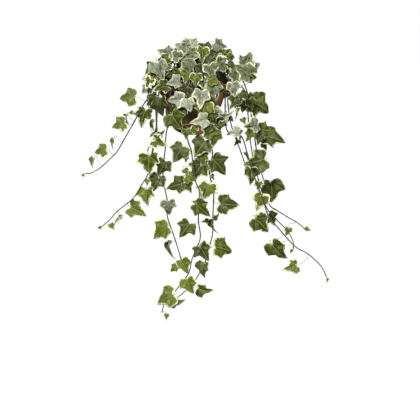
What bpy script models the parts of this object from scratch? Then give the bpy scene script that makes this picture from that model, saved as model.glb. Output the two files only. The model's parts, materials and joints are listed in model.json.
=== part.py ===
"""A potted ivy with cream-edged leaves, trailing from a hanging pot.

One object for the pot, one for the soil and one for each leafy stem. A leafy stem is a thin tube with
its leaves fused on. Each leaf is a lobed plate, and its petiole is part of the same plate, with its end
sunk into the stem. Metres, +Z up. The origin is the middle of the pot's rim plane.

Places on the front of the plant are written as they are seen from the front, looking down by SEEN_FROM:
millimetres across and up from the rim's middle, with a depth behind it.
"""

import math
import random
from dataclasses import dataclass

import bmesh
import bpy
from mathutils import Vector, noise
from mathutils.bvhtree import BVHTree

MM = 0.001

# Pot
RIM_RADIUS = 70 * MM
BAND_HEIGHT = 14 * MM
BAND_STEP = 3.8 * MM
FOOT_RADIUS = 42 * MM
POT_HEIGHT = 97 * MM
POT_WALL = 2.2 * MM
TURN_STEPS = 28
HOLE_SIDES = 8
HANGER_HOLES = 4
HANGER_HOLE_RADIUS = 2.5 * MM
DRAIN_HOLES = 6
DRAIN_HOLE_RADIUS = 4 * MM
DRAIN_CIRCLE = 27 * MM

# Soil
SOIL_EDGE = -16 * MM
SOIL_CROWN = -11 * MM
SOIL_RINGS = 3
SOIL_LUMP = 1.2 * MM
SEAT_GAP = 0.3 * MM
STEM_FOOT = -32 * MM
STEM_HOLE_RADIUS = 1.9 * MM
STEM_HOLE_SIDES = 5

# Stems
STEM_RADIUS = 1.25 * MM
STEM_TIP_RADIUS = 0.8 * MM
STEM_STEP = 12 * MM
LEAST_TURN = math.radians(14)
LONGEST_RUN = 55 * MM
ROOT_STEP = 4 * MM
ROOT_APART = 3.5 * MM
SOIL_CLEAR = -6 * MM
CREST_INNER = (57 * MM, 15 * MM)
CREST_OUTER = (75 * MM, 9 * MM)

# Leaves, whose outlines are in units of the length from petiole to tip
BLADE_THICKNESS = 0.8 * MM
PETIOLE_WIDTH = 1.5 * MM
LARGE_LEAF = 42 * MM
SMALL_LEAF = 14 * MM
HIDDEN_GROWTH = 1.12
LARGE_OUTLINE = ((0.40, -0.13), (0.48, 0.10), (0.58, 0.36), (0.27, 0.50))
MIDDLE_OUTLINE = ((0.38, -0.08), (0.50, 0.32), (0.25, 0.50))
SMALL_OUTLINE = ((0.34, -0.04), (0.40, 0.34))
MIDRIB_POINT = (0.0, 0.42)
CENTRE_OF_BLADE = 0.42
LEAF_WIDTHS = (0.88, 1.08)
LEAF_FOLDS = (0.10, 0.32)
LEAF_DROOPS = (0.06, 0.24)
END_LEAF = 10 * MM

# Petioles: one that runs nearly along the blade is straight unless it is long, and any other bends
SHORTEST_PETIOLE = 4 * MM
LONGEST_PETIOLE = 52 * MM
STRAIGHT_PETIOLE = 27 * MM
LONGEST_LEAD = 9 * MM
LEAD_SHARE = 0.35
SIDEWAYS = 0.72
UNDER_BLADE = -0.2
UNDER_DROP = 4 * MM

# How far a leaf strays from the one wanted: at the first try, and how much more by the last
ATTEMPTS = 110
FACE_STRAY = (0.14, 0.6)
TIP_STRAY = (0.1, 0.6)
DEPTH_STRAY = (3 * MM, 34 * MM)
PLACE_STRAY = 6 * MM
TURN_STRAY = 0.15
SHRINK = 0.2
DEPTH_WAYS = (-1.0, 1.1)

# The room kept clear round a leaf, a stem and the pot
TEST_THICKNESS = 1.9 * MM
TEST_MARGIN = 1.04
TEST_TUBE = 0.6 * MM
POT_CLEAR = 1.5 * MM

# The crown's dome and how much lower it is at the back, how far out stems and leaves hang, and how the
# plant is seen
DOME = Vector((92, 92, 80)) * MM
BACK_FALL = 0.32
HANG_RADIUS = 80 * MM
FRONT_RADIUS = 88 * MM
IN_FRONT = 7 * MM
SEEN_FROM = math.radians(30)
TO_VIEWER = Vector((0, -math.cos(SEEN_FROM), math.sin(SEEN_FROM)))
SEEN_RIGHT = Vector((1, 0, 0))
SEEN_UP = Vector((0, math.sin(SEEN_FROM), math.cos(SEEN_FROM)))
UP = Vector((0, 0, 1))

# Trailing stems seen from the front: where each stands in the soil, its depth where it leaves the rim and
# at its end, its route as (across, up), and its leaves as (across, up, length, way the tip points, turn).
# The way is in degrees, 0 to the right and 90 up, and a turn shows the leaf from its edge.
FRONT_STEMS = {
    "stem_left": (
        (-48, -6),
        (-8, -42),
        ((-86, -28), (-94, -38), (-104, -54), (-118, -80), (-132, -104), (-140, -118), (-152, -138),
         (-168, -154), (-186, -170), (-204, -180), (-214, -180)),
        ((-130, -30, 30, 180, 0), (-124, -60, 10, 170, 0),
         (-100, -70, 33, -100, 0), (-132, -76, 22, -90, 60), (-148, -84, 28, -165, 0),
         (-160, -120, 20, -110, 55), (-184, -136, 22, -170, 0), (-202, -158, 18, -110, 55),
         (-220, -184, 8, 180, 0)),
    ),
    "stem_left_front": (
        (-42, -24),
        (-40, -72),
        ((-72, -72), (-72, -98), (-76, -116), (-86, -166), (-92, -186), (-102, -202), (-119, -229),
         (-152, -256), (-164, -270), (-182, -286)),
        ((-80, -88, 20, -90, 45), (-80, -104, 10, -150, 0), (-64, -102, 16, 20, 35),
         (-66, -118, 28, -20, 0), (-88, -162, 36, -100, 0), (-92, -198, 12, -90, 0),
         (-94, -226, 30, -90, 0), (-112, -254, 32, -35, 0), (-152, -272, 22, -155, 40),
         (-162, -286, 14, -60, 0), (-187, -288, 8, 180, 0)),
    ),
    "stem_front_left": (
        (-30, -36),
        (-62, -30),
        ((-46, -72), (-50, -86), (-54, -106), (-56, -136), (-58, -152), (-60, -190), (-52, -236),
         (-52, -266), (-38, -308), (-24, -354)),
        ((-62, -170, 30, -110, 0), (-74, -200, 33, -120, 0), (-50, -248, 27, -90, 0),
         (-66, -296, 35, -145, 0), (-49, -332, 30, -95, 65), (-40, -370, 16, -150, 0),
         (-18, -366, 27, -60, 0)),
    ),
    "stem_front": (
        (-10, -46),
        (-84, -112),
        ((-14, -92), (-10, -118), (-4, -136), (0, -166), (5, -198), (12, -218), (10, -272), (14, -306),
         (6, -329), (-3, -352), (-9, -378), (-22, -396), (-42, -422), (-57, -436), (-63, -458)),
        ((-14, -104, 18, -90, 0), (0, -98, 12, -90, 0), (-30, -142, 34, -120, 0), (-14, -152, 12, -90, 0),
         (-14, -178, 14, -60, 0), (-5, -190, 20, -20, 0), (-34, -204, 31, -165, 0),
         (-10, -208, 20, -60, 0), (4, -236, 12, 180, 0), (18, -252, 33, -50, 0),
         (-16, -292, 30, -125, 0), (-8, -404, 30, -80, 0),
         (-56, -428, 36, -160, 30), (-34, -438, 26, -15, 45), (-54, -466, 12, -90, 0)),
    ),
    "stem_front_right": (
        (14, -46),
        (-80, -58),
        ((24, -86), (32, -116), (38, -142), (32, -180), (40, -214), (39, -260), (38, -300), (31, -327),
         (22, -360), (8, -386), (-6, -406), (-34, -430)),
        ((40, -98, 28, -20, 0), (40, -114, 30, -90, 0), (14, -130, 36, -115, 0), (18, -152, 24, -90, 40),
         (30, -162, 16, -90, 0), (52, -166, 36, -45, 0), (8, -176, 34, -120, 0), (38, -188, 12, -60, 0),
         (26, -216, 34, -100, 0), (70, -242, 36, -10, 0), (38, -286, 26, -90, 55),
         (46, -266, 14, 30, 40), (24, -275, 12, -170, 0), (20, -338, 32, -60, 0), (60, -330, 34, -15, 0),
         (18, -372, 28, -100, 50), (22, -414, 26, -20, 25)),
    ),
    "stem_right_back": (
        (48, 4),
        (6, 46),
        ((86, 4), (96, 6), (108, -24), (114, -60), (120, -96), (126, -136), (134, -172), (144, -206),
         (152, -242), (168, -254), (190, -268), (208, -278), (225, -292)),
        ((107, 45, 30, 60, 0), (123, 32, 24, 30, 0), (116, 10, 20, 0, 0),
         (118, -29, 18, 30, 0), (134, -47, 42, -25, 0), (144, -94, 26, 0, 0), (162, -110, 40, -15, 0),
         (142, -126, 14, -60, 0), (158, -216, 42, -75, 0), (158, -272, 24, -50, 0),
         (230, -292, 11, -20, 0), (190, -296, 15, -100, 0)),
    ),
    "stem_right": (
        (47, -14),
        (-10, -4),
        ((80, -10), (94, -8), (106, -28), (108, -60), (112, -106), (118, -146), (126, -180), (134, -208),
         (146, -248), (168, -274), (186, -292), (194, -304), (200, -318), (200, -332)),
        ((98, 22, 33, 150, 0), (85, 6, 29, -95, 0), (100, -47, 24, -100, 0), (114, -44, 20, -80, 0),
         (116, -84, 26, -160, 0), (112, -104, 24, -110, 0), (130, -112, 18, -90, 0),
         (124, -156, 38, -155, 0), (116, -184, 30, -90, 0), (130, -204, 18, -80, 0),
         (134, -236, 34, -110, 0), (196, -336, 8, -120, 0)),
    ),
    "stem_right_front": (
        (36, -34),
        (-46, -56),
        ((66, -94), (94, -106), (106, -138), (114, -166), (128, -206), (138, -232), (150, -266),
         (170, -290), (202, -325), (229, -341), (254, -364), (266, -386)),
        ((80, -16, 26, -80, 0), (80, -40, 26, -110, 0), (100, -28, 18, -40, 0), (88, -56, 11, -90, 0),
         (100, -78, 14, -60, 0), (80, -100, 22, 180, 35), (136, -282, 37, -45, 0),
         (168, -336, 40, -48, 35), (179, -326, 12, -45, 0), (196, -368, 25, -155, 0),
         (268, -394, 9, -90, 0)),
    ),
}

# Crown shoots: where each stands in the soil, then its points, and its leaves as above.
FRONT_SHOOTS = {
    "shoot_left": (
        (-32, 4),
        ((-42, 2, 20), (-58, -2, 38)),
        ((-57, 57, 30, 155, 0), (-59, 43, 26, -170, 40), (-34, 52, 22, 130, 0), (-67, 22, 33, -75, 0),
         (-87, 26, 24, -150, 25), (-49, 33, 18, 100, 0), (-87, 8, 27, 180, 0), (-87, -3, 22, -110, 0),
         (-48, -20, 30, -140, 0)),
    ),
    "shoot_left_low": (
        (-34, -14),
        ((-48, -22, 12), (-66, -28, 8), (-76, -32, -12), (-78, -34, -34)),
        ((-96, -16, 18, -140, 0), (-65, -9, 29, -135, 0), (-40, -2, 24, -170, 0), (-38, 13, 22, 180, 0),
         (-80, -38, 28, -130, 20), (-65, -49, 32, -90, 0)),
    ),
    "shoot_top": (
        (-12, 14),
        ((-13, 18, 38), (-14, 26, 62)),
        ((-14, 73, 34, 95, 0), (3, 83, 17, 70, 0), (-7, 52, 28, -150, 0), (20, 70, 24, 150, 20),
         (30, 73, 20, 100, 50), (37, 84, 18, 160, 60), (17, 56, 25, -90, 0), (10, 37, 27, -60, 0)),
    ),
    "shoot_top_right": (
        (18, 14),
        ((26, 18, 32), (42, 24, 52)),
        ((52, 73, 22, -30, 20), (54, 60, 15, 90, 0), (70, 58, 24, 60, 0), (73, 48, 15, -45, 0),
         (33, 46, 31, 55, 0), (57, 50, 14, 0, 0), (75, 30, 18, -45, 0), (54, 30, 29, -45, 0)),
    ),
    "shoot_middle": (
        (-4, -12),
        ((-5, -20, 22), (-8, -40, 38)),
        ((-7, 26, 27, -70, 0), (-23, 20, 22, -150, 0), (17, 20, 24, -100, 0), (-13, 4, 24, -100, 0),
         (4, 3, 24, -80, 0), (17, -5, 23, -90, 0), (-18, -23, 26, -110, 0), (0, -16, 20, 0, 55)),
    ),
    "shoot_right": (
        (28, -12),
        ((36, -20, 20), (48, -36, 28)),
        ((35, 20, 26, -80, 0), (41, -3, 22, -10, 0), (42, -20, 31, -80, 0), (34, -34, 22, -100, 25)),
    ),
    "shoot_front_left": (
        (-20, -28),
        ((-22, -48, 13), (-24, -68, 9), (-25, -80, -10), (-28, -86, -34), (-30, -88, -48)),
        ((-34, -37, 30, 185, 0), (-8, -50, 28, -90, 0), (-27, -60, 33, -110, 0), (-33, -80, 36, -40, 0),
         (-15, -42, 22, -70, 0), (2, -97, 17, -90, 0)),
    ),
    "shoot_front_right": (
        (4, -32),
        ((9, -50, 13), (12, -70, 9), (14, -82, -8), (18, -89, -32), (22, -91, -52)),
        ((15, -35, 32, -95, 0), (20, -58, 32, -110, 0), (14, -77, 31, -150, 0), (36, -73, 30, -60, 0),
         (50, -58, 16, -30, 0), (66, -66, 24, 15, 35), (46, -90, 31, -80, 0), (60, -82, 16, 0, 0),
         (29, -95, 25, -95, 0)),
    ),
}

# Shoots behind the middle, whose leaves follow a rule: where each stands, then its points.
BACK_SHOOTS = {
    "shoot_back_right": ((30, 20), ((42, 34, 28), (56, 48, 42))),
    "shoot_back": ((10, 30), ((14, 44, 34), (18, 60, 50))),
    "shoot_back_left": ((-12, 30), ((-18, 46, 34), (-24, 60, 48))),
    "shoot_left_back": ((-28, 18), ((-40, 30, 28), (-56, 42, 40))),
}

# The rule for leaves that aren't read from the front, as layers of the crown's dome: how many the golden
# angle spreads over it, the layer's share of the dome's size, how far down it goes, which leaves are kept
# by how far back they look, and their shortest and longest length.
CROWN_LAYERS = (
    (44, 0.93, -0.25, 0.22, (24, 36)),
    (18, 0.68, 0.10, -1.0, (24, 32)),
)

# Trailing stems behind the pot: where each stands, the compass angle where it crosses the rim, how far
# it hangs below the rim and how far it leans out there.
BACK_STEMS = {
    "stem_back_right": ((40, 26), 36, 225, 40),
    "stem_back": ((16, 44), 74, 176, 30),
    "stem_back_left": ((-16, 44), 114, 150, 26),
    "stem_left_back": ((-40, 26), 151, 205, 14),
}
BACK_SHARES = (0.12, 0.35, 0.6, 0.8, 1.0)
BACK_WAVE = 4
BACK_LEAF_SPACING = 31 * MM
BACK_LEAVES = (34 * MM, 16 * MM)
LENGTH_STRAY = 4 * MM


@dataclass
class Wish:
    """Where a leaf is wanted: the middle of its blade, the way its tip points and its face looks. One that
    is read from the front is placed before those that a rule spreads."""

    middle: Vector
    along: Vector
    face: Vector
    length: float
    turn: float = 0.0
    read: bool = False


@dataclass
class Leaf:
    """A leaf's petiole, from the stem's centre line, and its blade's own axes and form. A short petiole
    is straight and has no bend."""

    root: Vector
    bend: Vector | None
    base: Vector
    tip: Vector
    face: Vector
    length: float
    width: float
    fold: float
    droop: float


class Stem:
    """A stem's centre line, the leaves wanted on it and the leaves it got."""

    def __init__(self, name, number, line):
        self.name = name
        self.number = number
        self.line = line
        self.wishes = []
        self.leaves = []


def seen(across, up, depth):
    """The point seen this many millimetres across and up, at this depth."""
    height = (up - depth * math.sin(SEEN_FROM)) / math.cos(SEEN_FROM)
    return Vector((across, depth, height)) * MM


def smooth(points, step):
    """Points about one step apart on a smooth curve through these."""
    ends = [2 * points[0] - points[1], *points, 2 * points[-1] - points[-2]]
    line = []
    for a, b, c, d in zip(ends, ends[1:], ends[2:], ends[3:]):
        count = max(1, round((c - b).length / step))
        for i in range(count):
            t = i / count
            bent = (2 * a - 5 * b + 4 * c - d) * t * t + (3 * b - a - 3 * c + d) * t * t * t
            line.append(0.5 * (2 * b + (c - a) * t + bent))
    line.append(points[-1])
    return line


def thinned(line):
    """A line without the points where it hardly turns."""
    kept = [line[0]]
    for point, after in zip(line[1:], line[2:]):
        run = point - kept[-1]
        if run.angle(after - point) > LEAST_TURN or run.length > LONGEST_RUN:
            kept.append(point)
    return [*kept, line[-1]]


def divided(line, step):
    """A line's own points with more between them, at most about one step apart."""
    points = []
    for one, other in zip(line, line[1:]):
        count = max(1, round((other - one).length / step))
        points += [one.lerp(other, i / count) for i in range(count)]
    return [*points, line[-1]]


def stem_line(root, rest):
    """A stem that stands straight in its hole in the soil and then follows the rest of its points."""
    foot = [Vector((root[0] * MM, root[1] * MM, height)) for height in (STEM_FOOT, SOIL_CLEAR)]
    return [foot[0], *thinned(smooth([foot[1], *rest], STEM_STEP))]


def over_rim(first):
    """The two points where a trailing stem crosses over the rim, towards its first hanging point."""
    way = Vector((first.x, first.y, 0)).normalized()
    return [way * radius + UP * height for radius, height in (CREST_INNER, CREST_OUTER)]


def front_line(root, depths, route):
    count = len(route) - 1
    rest = [
        seen(across, up, depths[0] + (depths[1] - depths[0]) * i / count)
        for i, (across, up) in enumerate(route)
    ]
    return stem_line(root, over_rim(rest[0]) + rest)


def back_line(root, angle, drop, lean):
    """A stem that hangs behind the pot, waving a little and leaning out as it falls."""
    rest = []
    for share in BACK_SHARES:
        turn = math.radians(angle + BACK_WAVE * math.sin(7 * share + angle))
        radius = HANG_RADIUS + 3 * MM + lean * MM * share * share
        rest.append(Vector((radius * math.cos(turn), radius * math.sin(turn), -drop * MM * share)))
    return stem_line(root, over_rim(rest[0]) + rest)


def on_dome(across, up, scale):
    """The near side of the crown's dome where it is seen at this place, kept out from the pot's wall."""
    slope = math.tan(SEEN_FROM)
    wide, deep, tall = DOME * scale
    level = up * MM / math.cos(SEEN_FROM)
    a = 1 / deep**2 + slope**2 / tall**2
    b = -2 * level * slope / tall**2
    c = (across * MM / wide) ** 2 + (level / tall) ** 2 - 1
    depth = (-b - math.sqrt(max(0.0, b * b - 4 * a * c))) / (2 * a)
    if level - depth * slope < 0:
        depth = min(depth, -math.sqrt(max(0.0, FRONT_RADIUS**2 - (across * MM) ** 2)))
    return seen(across, up, depth / MM)


def seen_wish(middle, outward, leaf):
    """A leaf read from the front: it faces the viewer and partly outwards."""
    _, _, length, way, turn = leaf
    angle = math.radians(way)
    along = SEEN_RIGHT * math.cos(angle) + SEEN_UP * math.sin(angle)
    face = TO_VIEWER + outward * 0.3 + UP * 0.1
    return Wish(middle, along, face.normalized(), length * HIDDEN_GROWTH * MM, math.radians(turn), True)


def in_the_open(point):
    """Whether this point of a stem is clear of the pot's mouth."""
    return point.z > 2 * POT_CLEAR or point.z < -POT_HEIGHT or point.xy.length > RIM_RADIUS


def nearest_seen(line, across, up):
    """The point of a stem's line, past the rim, that is seen nearest to this place."""
    place = SEEN_RIGHT * across * MM + SEEN_UP * up * MM
    hanging = [p for p in line if p.z < -POT_HEIGHT or p.xy.length > RIM_RADIUS]
    return min(hanging, key=lambda p: (p - TO_VIEWER * p.dot(TO_VIEWER) - place).length)


def trailing_wishes(line, leaves):
    for leaf in leaves:
        near = nearest_seen(divided(line, ROOT_STEP), leaf[0], leaf[1])
        outward = Vector((near.x, near.y, 0)).normalized()
        depth = near.y + outward.y * IN_FRONT
        yield seen_wish(seen(leaf[0], leaf[1], depth / MM), outward, leaf)


def crown_wishes(leaves):
    for leaf in leaves:
        middle = on_dome(leaf[0], leaf[1], 1.0)
        yield seen_wish(middle, middle.normalized(), leaf)


def back_stem_wishes(line, draw):
    """Leaves to either side in turn, smaller towards the stem's end."""
    hanging = smooth([p for p in line if p.xy.length > RIM_RADIUS], BACK_LEAF_SPACING)[:-1]
    for i, point in enumerate(hanging):
        outward = Vector((point.x, point.y, 0)).normalized()
        side = outward.cross(UP) * (1 if i % 2 else -1)
        share = i / len(hanging)
        largest, least = BACK_LEAVES
        length = largest + (least - largest) * share + draw.uniform(-LENGTH_STRAY, LENGTH_STRAY)
        along = -0.8 * UP + side * draw.uniform(0.3, 0.8) + outward * 0.2
        middle = point + side * length * 0.55 + outward * IN_FRONT - UP * length * 0.35
        face = outward + UP * 0.35 + side * 0.2
        yield Wish(middle, along.normalized(), face.normalized(), length)
    last = line[-1]
    face = (last - line[-2]).cross(UP).cross(UP).normalized()
    yield Wish(last - UP * END_LEAF * 0.6, -UP, face, END_LEAF)


def layer_wishes(spread, scale, lowest, least_back, lengths, draw):
    """Leaves over one layer of the dome, spread by the golden angle and overlapping downwards."""
    golden = math.pi * (3 - math.sqrt(5))
    for i in range(spread):
        angle = i * golden
        height = 1 - (1 - lowest) * (i + 0.5) / spread
        ring = math.sqrt(1 - height * height)
        out = Vector((ring * math.cos(angle), ring * math.sin(angle), height))
        if out.y < least_back:
            continue
        tall = DOME.z * (1 - BACK_FALL * max(0.0, out.y))
        middle = Vector((out.x * DOME.x, out.y * DOME.y, out.z * tall)) * scale * draw.uniform(0.93, 1.07)
        if middle.z < 0:
            middle.xy = middle.xy.normalized() * max(middle.xy.length, HANG_RADIUS)
        side = out.cross(UP).normalized() * draw.uniform(-0.7, 0.7)
        along = side - UP + out * 0.35
        face = (out + UP * 0.25).normalized()
        yield Wish(middle, along.normalized(), face, draw.uniform(*lengths) * MM)


def blade_point(leaf, across, along):
    """A point of the blade, given in units of its length."""
    side = leaf.tip.cross(leaf.face)
    lift = leaf.fold * abs(across) - leaf.droop * along * along
    place = side * (across * leaf.width) + leaf.tip * along + leaf.face * lift
    return leaf.base + place * leaf.length


def petiole_stations(leaf):
    """The petiole's middle points below the base, each with the way that it runs there."""
    if leaf.bend is None:
        return [(leaf.root, (leaf.base - leaf.root).normalized())]
    upper = (leaf.base - leaf.bend).normalized()
    lower = (leaf.bend - leaf.root).normalized()
    return [(leaf.bend, (upper + lower).normalized()), (leaf.root, lower)]


def level_with(half, way, face):
    """The half width of a strip that runs this way, turned as little as may be from the one before."""
    level = half - way * half.dot(way)
    if level.length < 0.4 * half.length:
        level = face.cross(way)
    return level.normalized() * half.length


def outline_of(leaf):
    """One side of the blade's outline, from the petiole to just before the tip."""
    if leaf.length < SMALL_LEAF:
        return SMALL_OUTLINE
    return LARGE_OUTLINE if leaf.length >= LARGE_LEAF else MIDDLE_OUTLINE


def leaf_plate(leaf, thickness, margin, with_petiole):
    """The leaf as a closed plate of this thickness, its outline grown by the margin."""
    plate = bmesh.new()
    grown = [(across * margin, along * margin) for across, along in outline_of(leaf)]
    right = [plate.verts.new(blade_point(leaf, across, along)) for across, along in grown]
    left = [plate.verts.new(blade_point(leaf, -across, along)) for across, along in grown]
    tip = plate.verts.new(blade_point(leaf, 0, margin))
    side = leaf.tip.cross(leaf.face) * (PETIOLE_WIDTH / 2)
    base = [plate.verts.new(leaf.base - side), plate.verts.new(leaf.base + side)]
    if leaf.length < LARGE_LEAF:
        fans = [(base[0], [tip, *reversed(left)]), (base[1], [*right, tip]), (tip, base)]
    else:
        middle = plate.verts.new(blade_point(leaf, *MIDRIB_POINT))
        fans = [(middle, [*base, *right, tip, *reversed(left), base[0]])]
    for corner, edge in fans:
        for one, other in zip(edge, edge[1:]):
            plate.faces.new((corner, one, other))
    last, half = base, side
    for station, way in petiole_stations(leaf) if with_petiole else []:
        half = level_with(half, way, leaf.face)
        pair = [plate.verts.new(station - half), plate.verts.new(station + half)]
        plate.faces.new((pair[0], pair[1], last[1]))
        plate.faces.new((pair[0], last[1], last[0]))
        last = pair
    plate.normal_update()
    bmesh.ops.solidify(plate, geom=plate.faces[:], thickness=thickness)
    bmesh.ops.recalc_face_normals(plate, faces=plate.faces[:])
    return plate


def crosses_itself(plate):
    tree = BVHTree.FromBMesh(plate)
    return bool(tree.overlap(tree))


class Space:
    """What is already in place, to keep each new leaf clear of it."""

    def __init__(self):
        self.things = []

    def add(self, owner, kind, shape):
        low, high = bounds(shape)
        self.things.append((owner, kind, BVHTree.FromBMesh(shape), low, high))

    def meets(self, shape, skip):
        low, high = bounds(shape)
        tree = BVHTree.FromBMesh(shape)
        for owner, kind, other, other_low, other_high in self.things:
            if (owner, kind) in skip:
                continue
            apart = any(low[i] > other_high[i] or high[i] < other_low[i] for i in range(3))
            if not apart and tree.overlap(other):
                return True
        return False


def bounds(shape):
    """The lowest and highest corners of a bmesh."""
    places = [vertex.co for vertex in shape.verts]
    low = [min(place[i] for place in places) for i in range(3)]
    high = [max(place[i] for place in places) for i in range(3)]
    return low, high


def pot_guards():
    """Plain closed shapes round the pot's band and its tapered wall, for leaves to keep clear of."""
    for low, high, low_radius, high_radius in (
        (-BAND_HEIGHT, 0, RIM_RADIUS, RIM_RADIUS),
        (-POT_HEIGHT, -BAND_HEIGHT, FOOT_RADIUS, RIM_RADIUS - BAND_STEP),
    ):
        guard = bmesh.new()
        bmesh.ops.create_cone(
            guard,
            cap_ends=True,
            segments=TURN_STEPS,
            radius1=low_radius + POT_CLEAR,
            radius2=high_radius + POT_CLEAR,
            depth=high - low + 2 * POT_CLEAR,
        )
        bmesh.ops.translate(guard, verts=guard.verts[:], vec=(0, 0, (low + high) / 2))
        yield guard


def root_of(line, base, taken):
    """Where a petiole leaves the stem for this base: near it, rather before it than after it, and apart
    from the roots already taken."""
    best, least = None, math.inf
    for before, point, after in zip(line, line[1:], line[2:]):
        if not in_the_open(point) or any((point - root).length < ROOT_APART for root in taken):
            continue
        growth = (after - before).normalized()
        cost = (point - base).length + 0.5 * max(0.0, (point - base).dot(growth))
        if cost < least:
            best, least = point, cost
    return best


def stray(draw, amounts, spread):
    """A random vector whose size grows with spread from the first amount by the second."""
    return Vector([draw.uniform(-1, 1) for _ in range(3)]) * (amounts[0] + amounts[1] * spread)


def try_leaf(line, wish, draw, spread, taken):
    """A leaf close to the one wanted, further from it as spread goes from 0 to 1, or None."""
    length = wish.length * (1 - SHRINK * spread)
    face = (wish.face + stray(draw, FACE_STRAY, spread)).normalized()
    along = wish.along + stray(draw, TIP_STRAY, spread)
    tip = (along - face * along.dot(face)).normalized()
    side = tip.cross(face)
    turn = wish.turn + draw.uniform(-TURN_STRAY, TURN_STRAY)
    face = face * math.cos(turn) + side * math.sin(turn)
    shift = TO_VIEWER * draw.uniform(*DEPTH_WAYS) * (DEPTH_STRAY[0] + DEPTH_STRAY[1] * spread)
    drift = stray(draw, (0.0, PLACE_STRAY), spread)
    base = wish.middle + shift + drift - tip * length * CENTRE_OF_BLADE
    root = root_of(line, base, taken)
    if root is None or not SHORTEST_PETIOLE < (base - root).length < LONGEST_PETIOLE:
        return None
    reach = base - root
    ahead = reach.dot(tip) / reach.length
    if ahead < UNDER_BLADE and reach.dot(face) < UNDER_DROP:
        return None
    bend = None
    if ahead < SIDEWAYS:
        lead = min(LEAD_SHARE * reach.length, LONGEST_LEAD)
        bend = base - tip * lead - face * (UNDER_DROP if ahead < UNDER_BLADE else 0.0) * 0.6
    elif reach.length > STRAIGHT_PETIOLE:
        bend = (root + base) / 2 + (face * 0.04 + UP * 0.06) * reach.length
    return Leaf(
        root=root,
        bend=bend,
        base=base,
        tip=tip,
        face=face,
        length=length,
        width=draw.uniform(*LEAF_WIDTHS),
        fold=draw.uniform(*LEAF_FOLDS),
        droop=draw.uniform(*LEAF_DROOPS),
    )


def place_leaf(stem, line, wish, number, space):
    """Tries forms of the leaf until one is clear of everything in place, and keeps it."""
    draw = random.Random(1000 * stem.number + number)
    for attempt in range(ATTEMPTS):
        taken = [leaf.root for leaf in stem.leaves]
        leaf = try_leaf(line, wish, draw, attempt / ATTEMPTS, taken)
        if leaf is None:
            continue
        thick = leaf_plate(leaf, TEST_THICKNESS, TEST_MARGIN, True)
        blade = leaf_plate(leaf, TEST_THICKNESS, TEST_MARGIN, False)
        real = leaf_plate(leaf, BLADE_THICKNESS, 1.0, True)
        own_stem = (stem.name, "stem")
        own_leaves = (stem.name, "leaf")
        clear = not (
            crosses_itself(real)
            or space.meets(thick, {own_stem, own_leaves})
            or space.meets(blade, set())
            or space.meets(real, {own_stem})
        )
        if clear:
            space.add(*own_leaves, real)
            stem.leaves.append(leaf)
        for plate in (thick, blade, real):
            plate.free()
        if clear:
            return


def grow_stems():
    """Every stem's line and the leaves wanted on it."""
    stems = []
    for name, (root, depths, route, leaves) in FRONT_STEMS.items():
        stem = Stem(name, len(stems), front_line(root, depths, route))
        stem.wishes = list(trailing_wishes(stem.line, leaves))
        stems.append(stem)
    for name, (root, points, leaves) in FRONT_SHOOTS.items():
        stem = Stem(name, len(stems), stem_line(root, [Vector(point) * MM for point in points]))
        stem.wishes = list(crown_wishes(leaves))
        stems.append(stem)
    for name, (root, points) in BACK_SHOOTS.items():
        stems.append(Stem(name, len(stems), stem_line(root, [Vector(point) * MM for point in points])))
    shoots = stems[len(FRONT_STEMS):]
    for number, layer in enumerate(CROWN_LAYERS):
        for wish in layer_wishes(*layer, random.Random(number)):
            nearest = min(shoots, key=lambda stem: (stem.line[-1] - wish.middle).length)
            nearest.wishes.append(wish)
    for name, (root, angle, drop, lean) in BACK_STEMS.items():
        stem = Stem(name, len(stems), back_line(root, angle, drop, lean))
        stem.wishes = list(back_stem_wishes(stem.line, random.Random(len(stems))))
        stems.append(stem)
    return stems


def grow_leaves(stems):
    """Places the leaves of all stems, the largest first, each clear of what is there already."""
    space = Space()
    for guard in pot_guards():
        space.add("pot", "guard", guard)
        guard.free()
    for stem in stems:
        tube = bmesh.new()
        tube.from_mesh(tube_mesh(stem, TEST_TUBE))
        space.add(stem.name, "stem", tube)
        tube.free()
    wanted = [(stem, number, wish) for stem in stems for number, wish in enumerate(stem.wishes)]
    wanted.sort(key=lambda one: (not one[2].read, -one[2].length))
    fine = {stem.name: divided(stem.line[1:], ROOT_STEP) for stem in stems}
    for stem, number, wish in wanted:
        place_leaf(stem, fine[stem.name], wish, number, space)


def material(name, colour, roughness):
    made = bpy.data.materials.new(name)
    made.use_nodes = True
    shader = made.node_tree.nodes["Principled BSDF"]
    shader.inputs["Base Color"].default_value = (*colour, 1)
    shader.inputs["Roughness"].default_value = roughness
    return made


def new_object(name, data, collection):
    made = bpy.data.objects.new(name, data)
    collection.objects.link(made)
    return made


def evaluated_mesh(thing):
    """The mesh of an object with its modifiers applied."""
    graph = bpy.context.evaluated_depsgraph_get()
    return bpy.data.meshes.new_from_object(thing.evaluated_get(graph))


def tube_mesh(stem, extra):
    """The stem as a thin tube with closed ends, its radius grown by extra."""
    curve = bpy.data.curves.new(stem.name + "_line", "CURVE")
    curve.dimensions = "3D"
    curve.bevel_depth = STEM_RADIUS + extra
    curve.bevel_resolution = 0
    curve.use_fill_caps = True
    spline = curve.splines.new("POLY")
    spline.points.add(len(stem.line) - 1)
    for i, (point, place) in enumerate(zip(spline.points, stem.line)):
        share = i / (len(stem.line) - 1)
        point.co = (*place, 1)
        point.radius = 1 - share * (1 - STEM_TIP_RADIUS / STEM_RADIUS)
    guide = new_object(stem.name + "_guide", curve, bpy.context.scene.collection)
    mesh = evaluated_mesh(guide)
    bpy.data.objects.remove(guide)
    shape = bmesh.new()
    shape.from_mesh(mesh)
    bmesh.ops.remove_doubles(shape, verts=shape.verts[:], dist=1e-5)
    bmesh.ops.recalc_face_normals(shape, faces=shape.faces[:])
    shape.to_mesh(mesh)
    shape.free()
    return mesh


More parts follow.
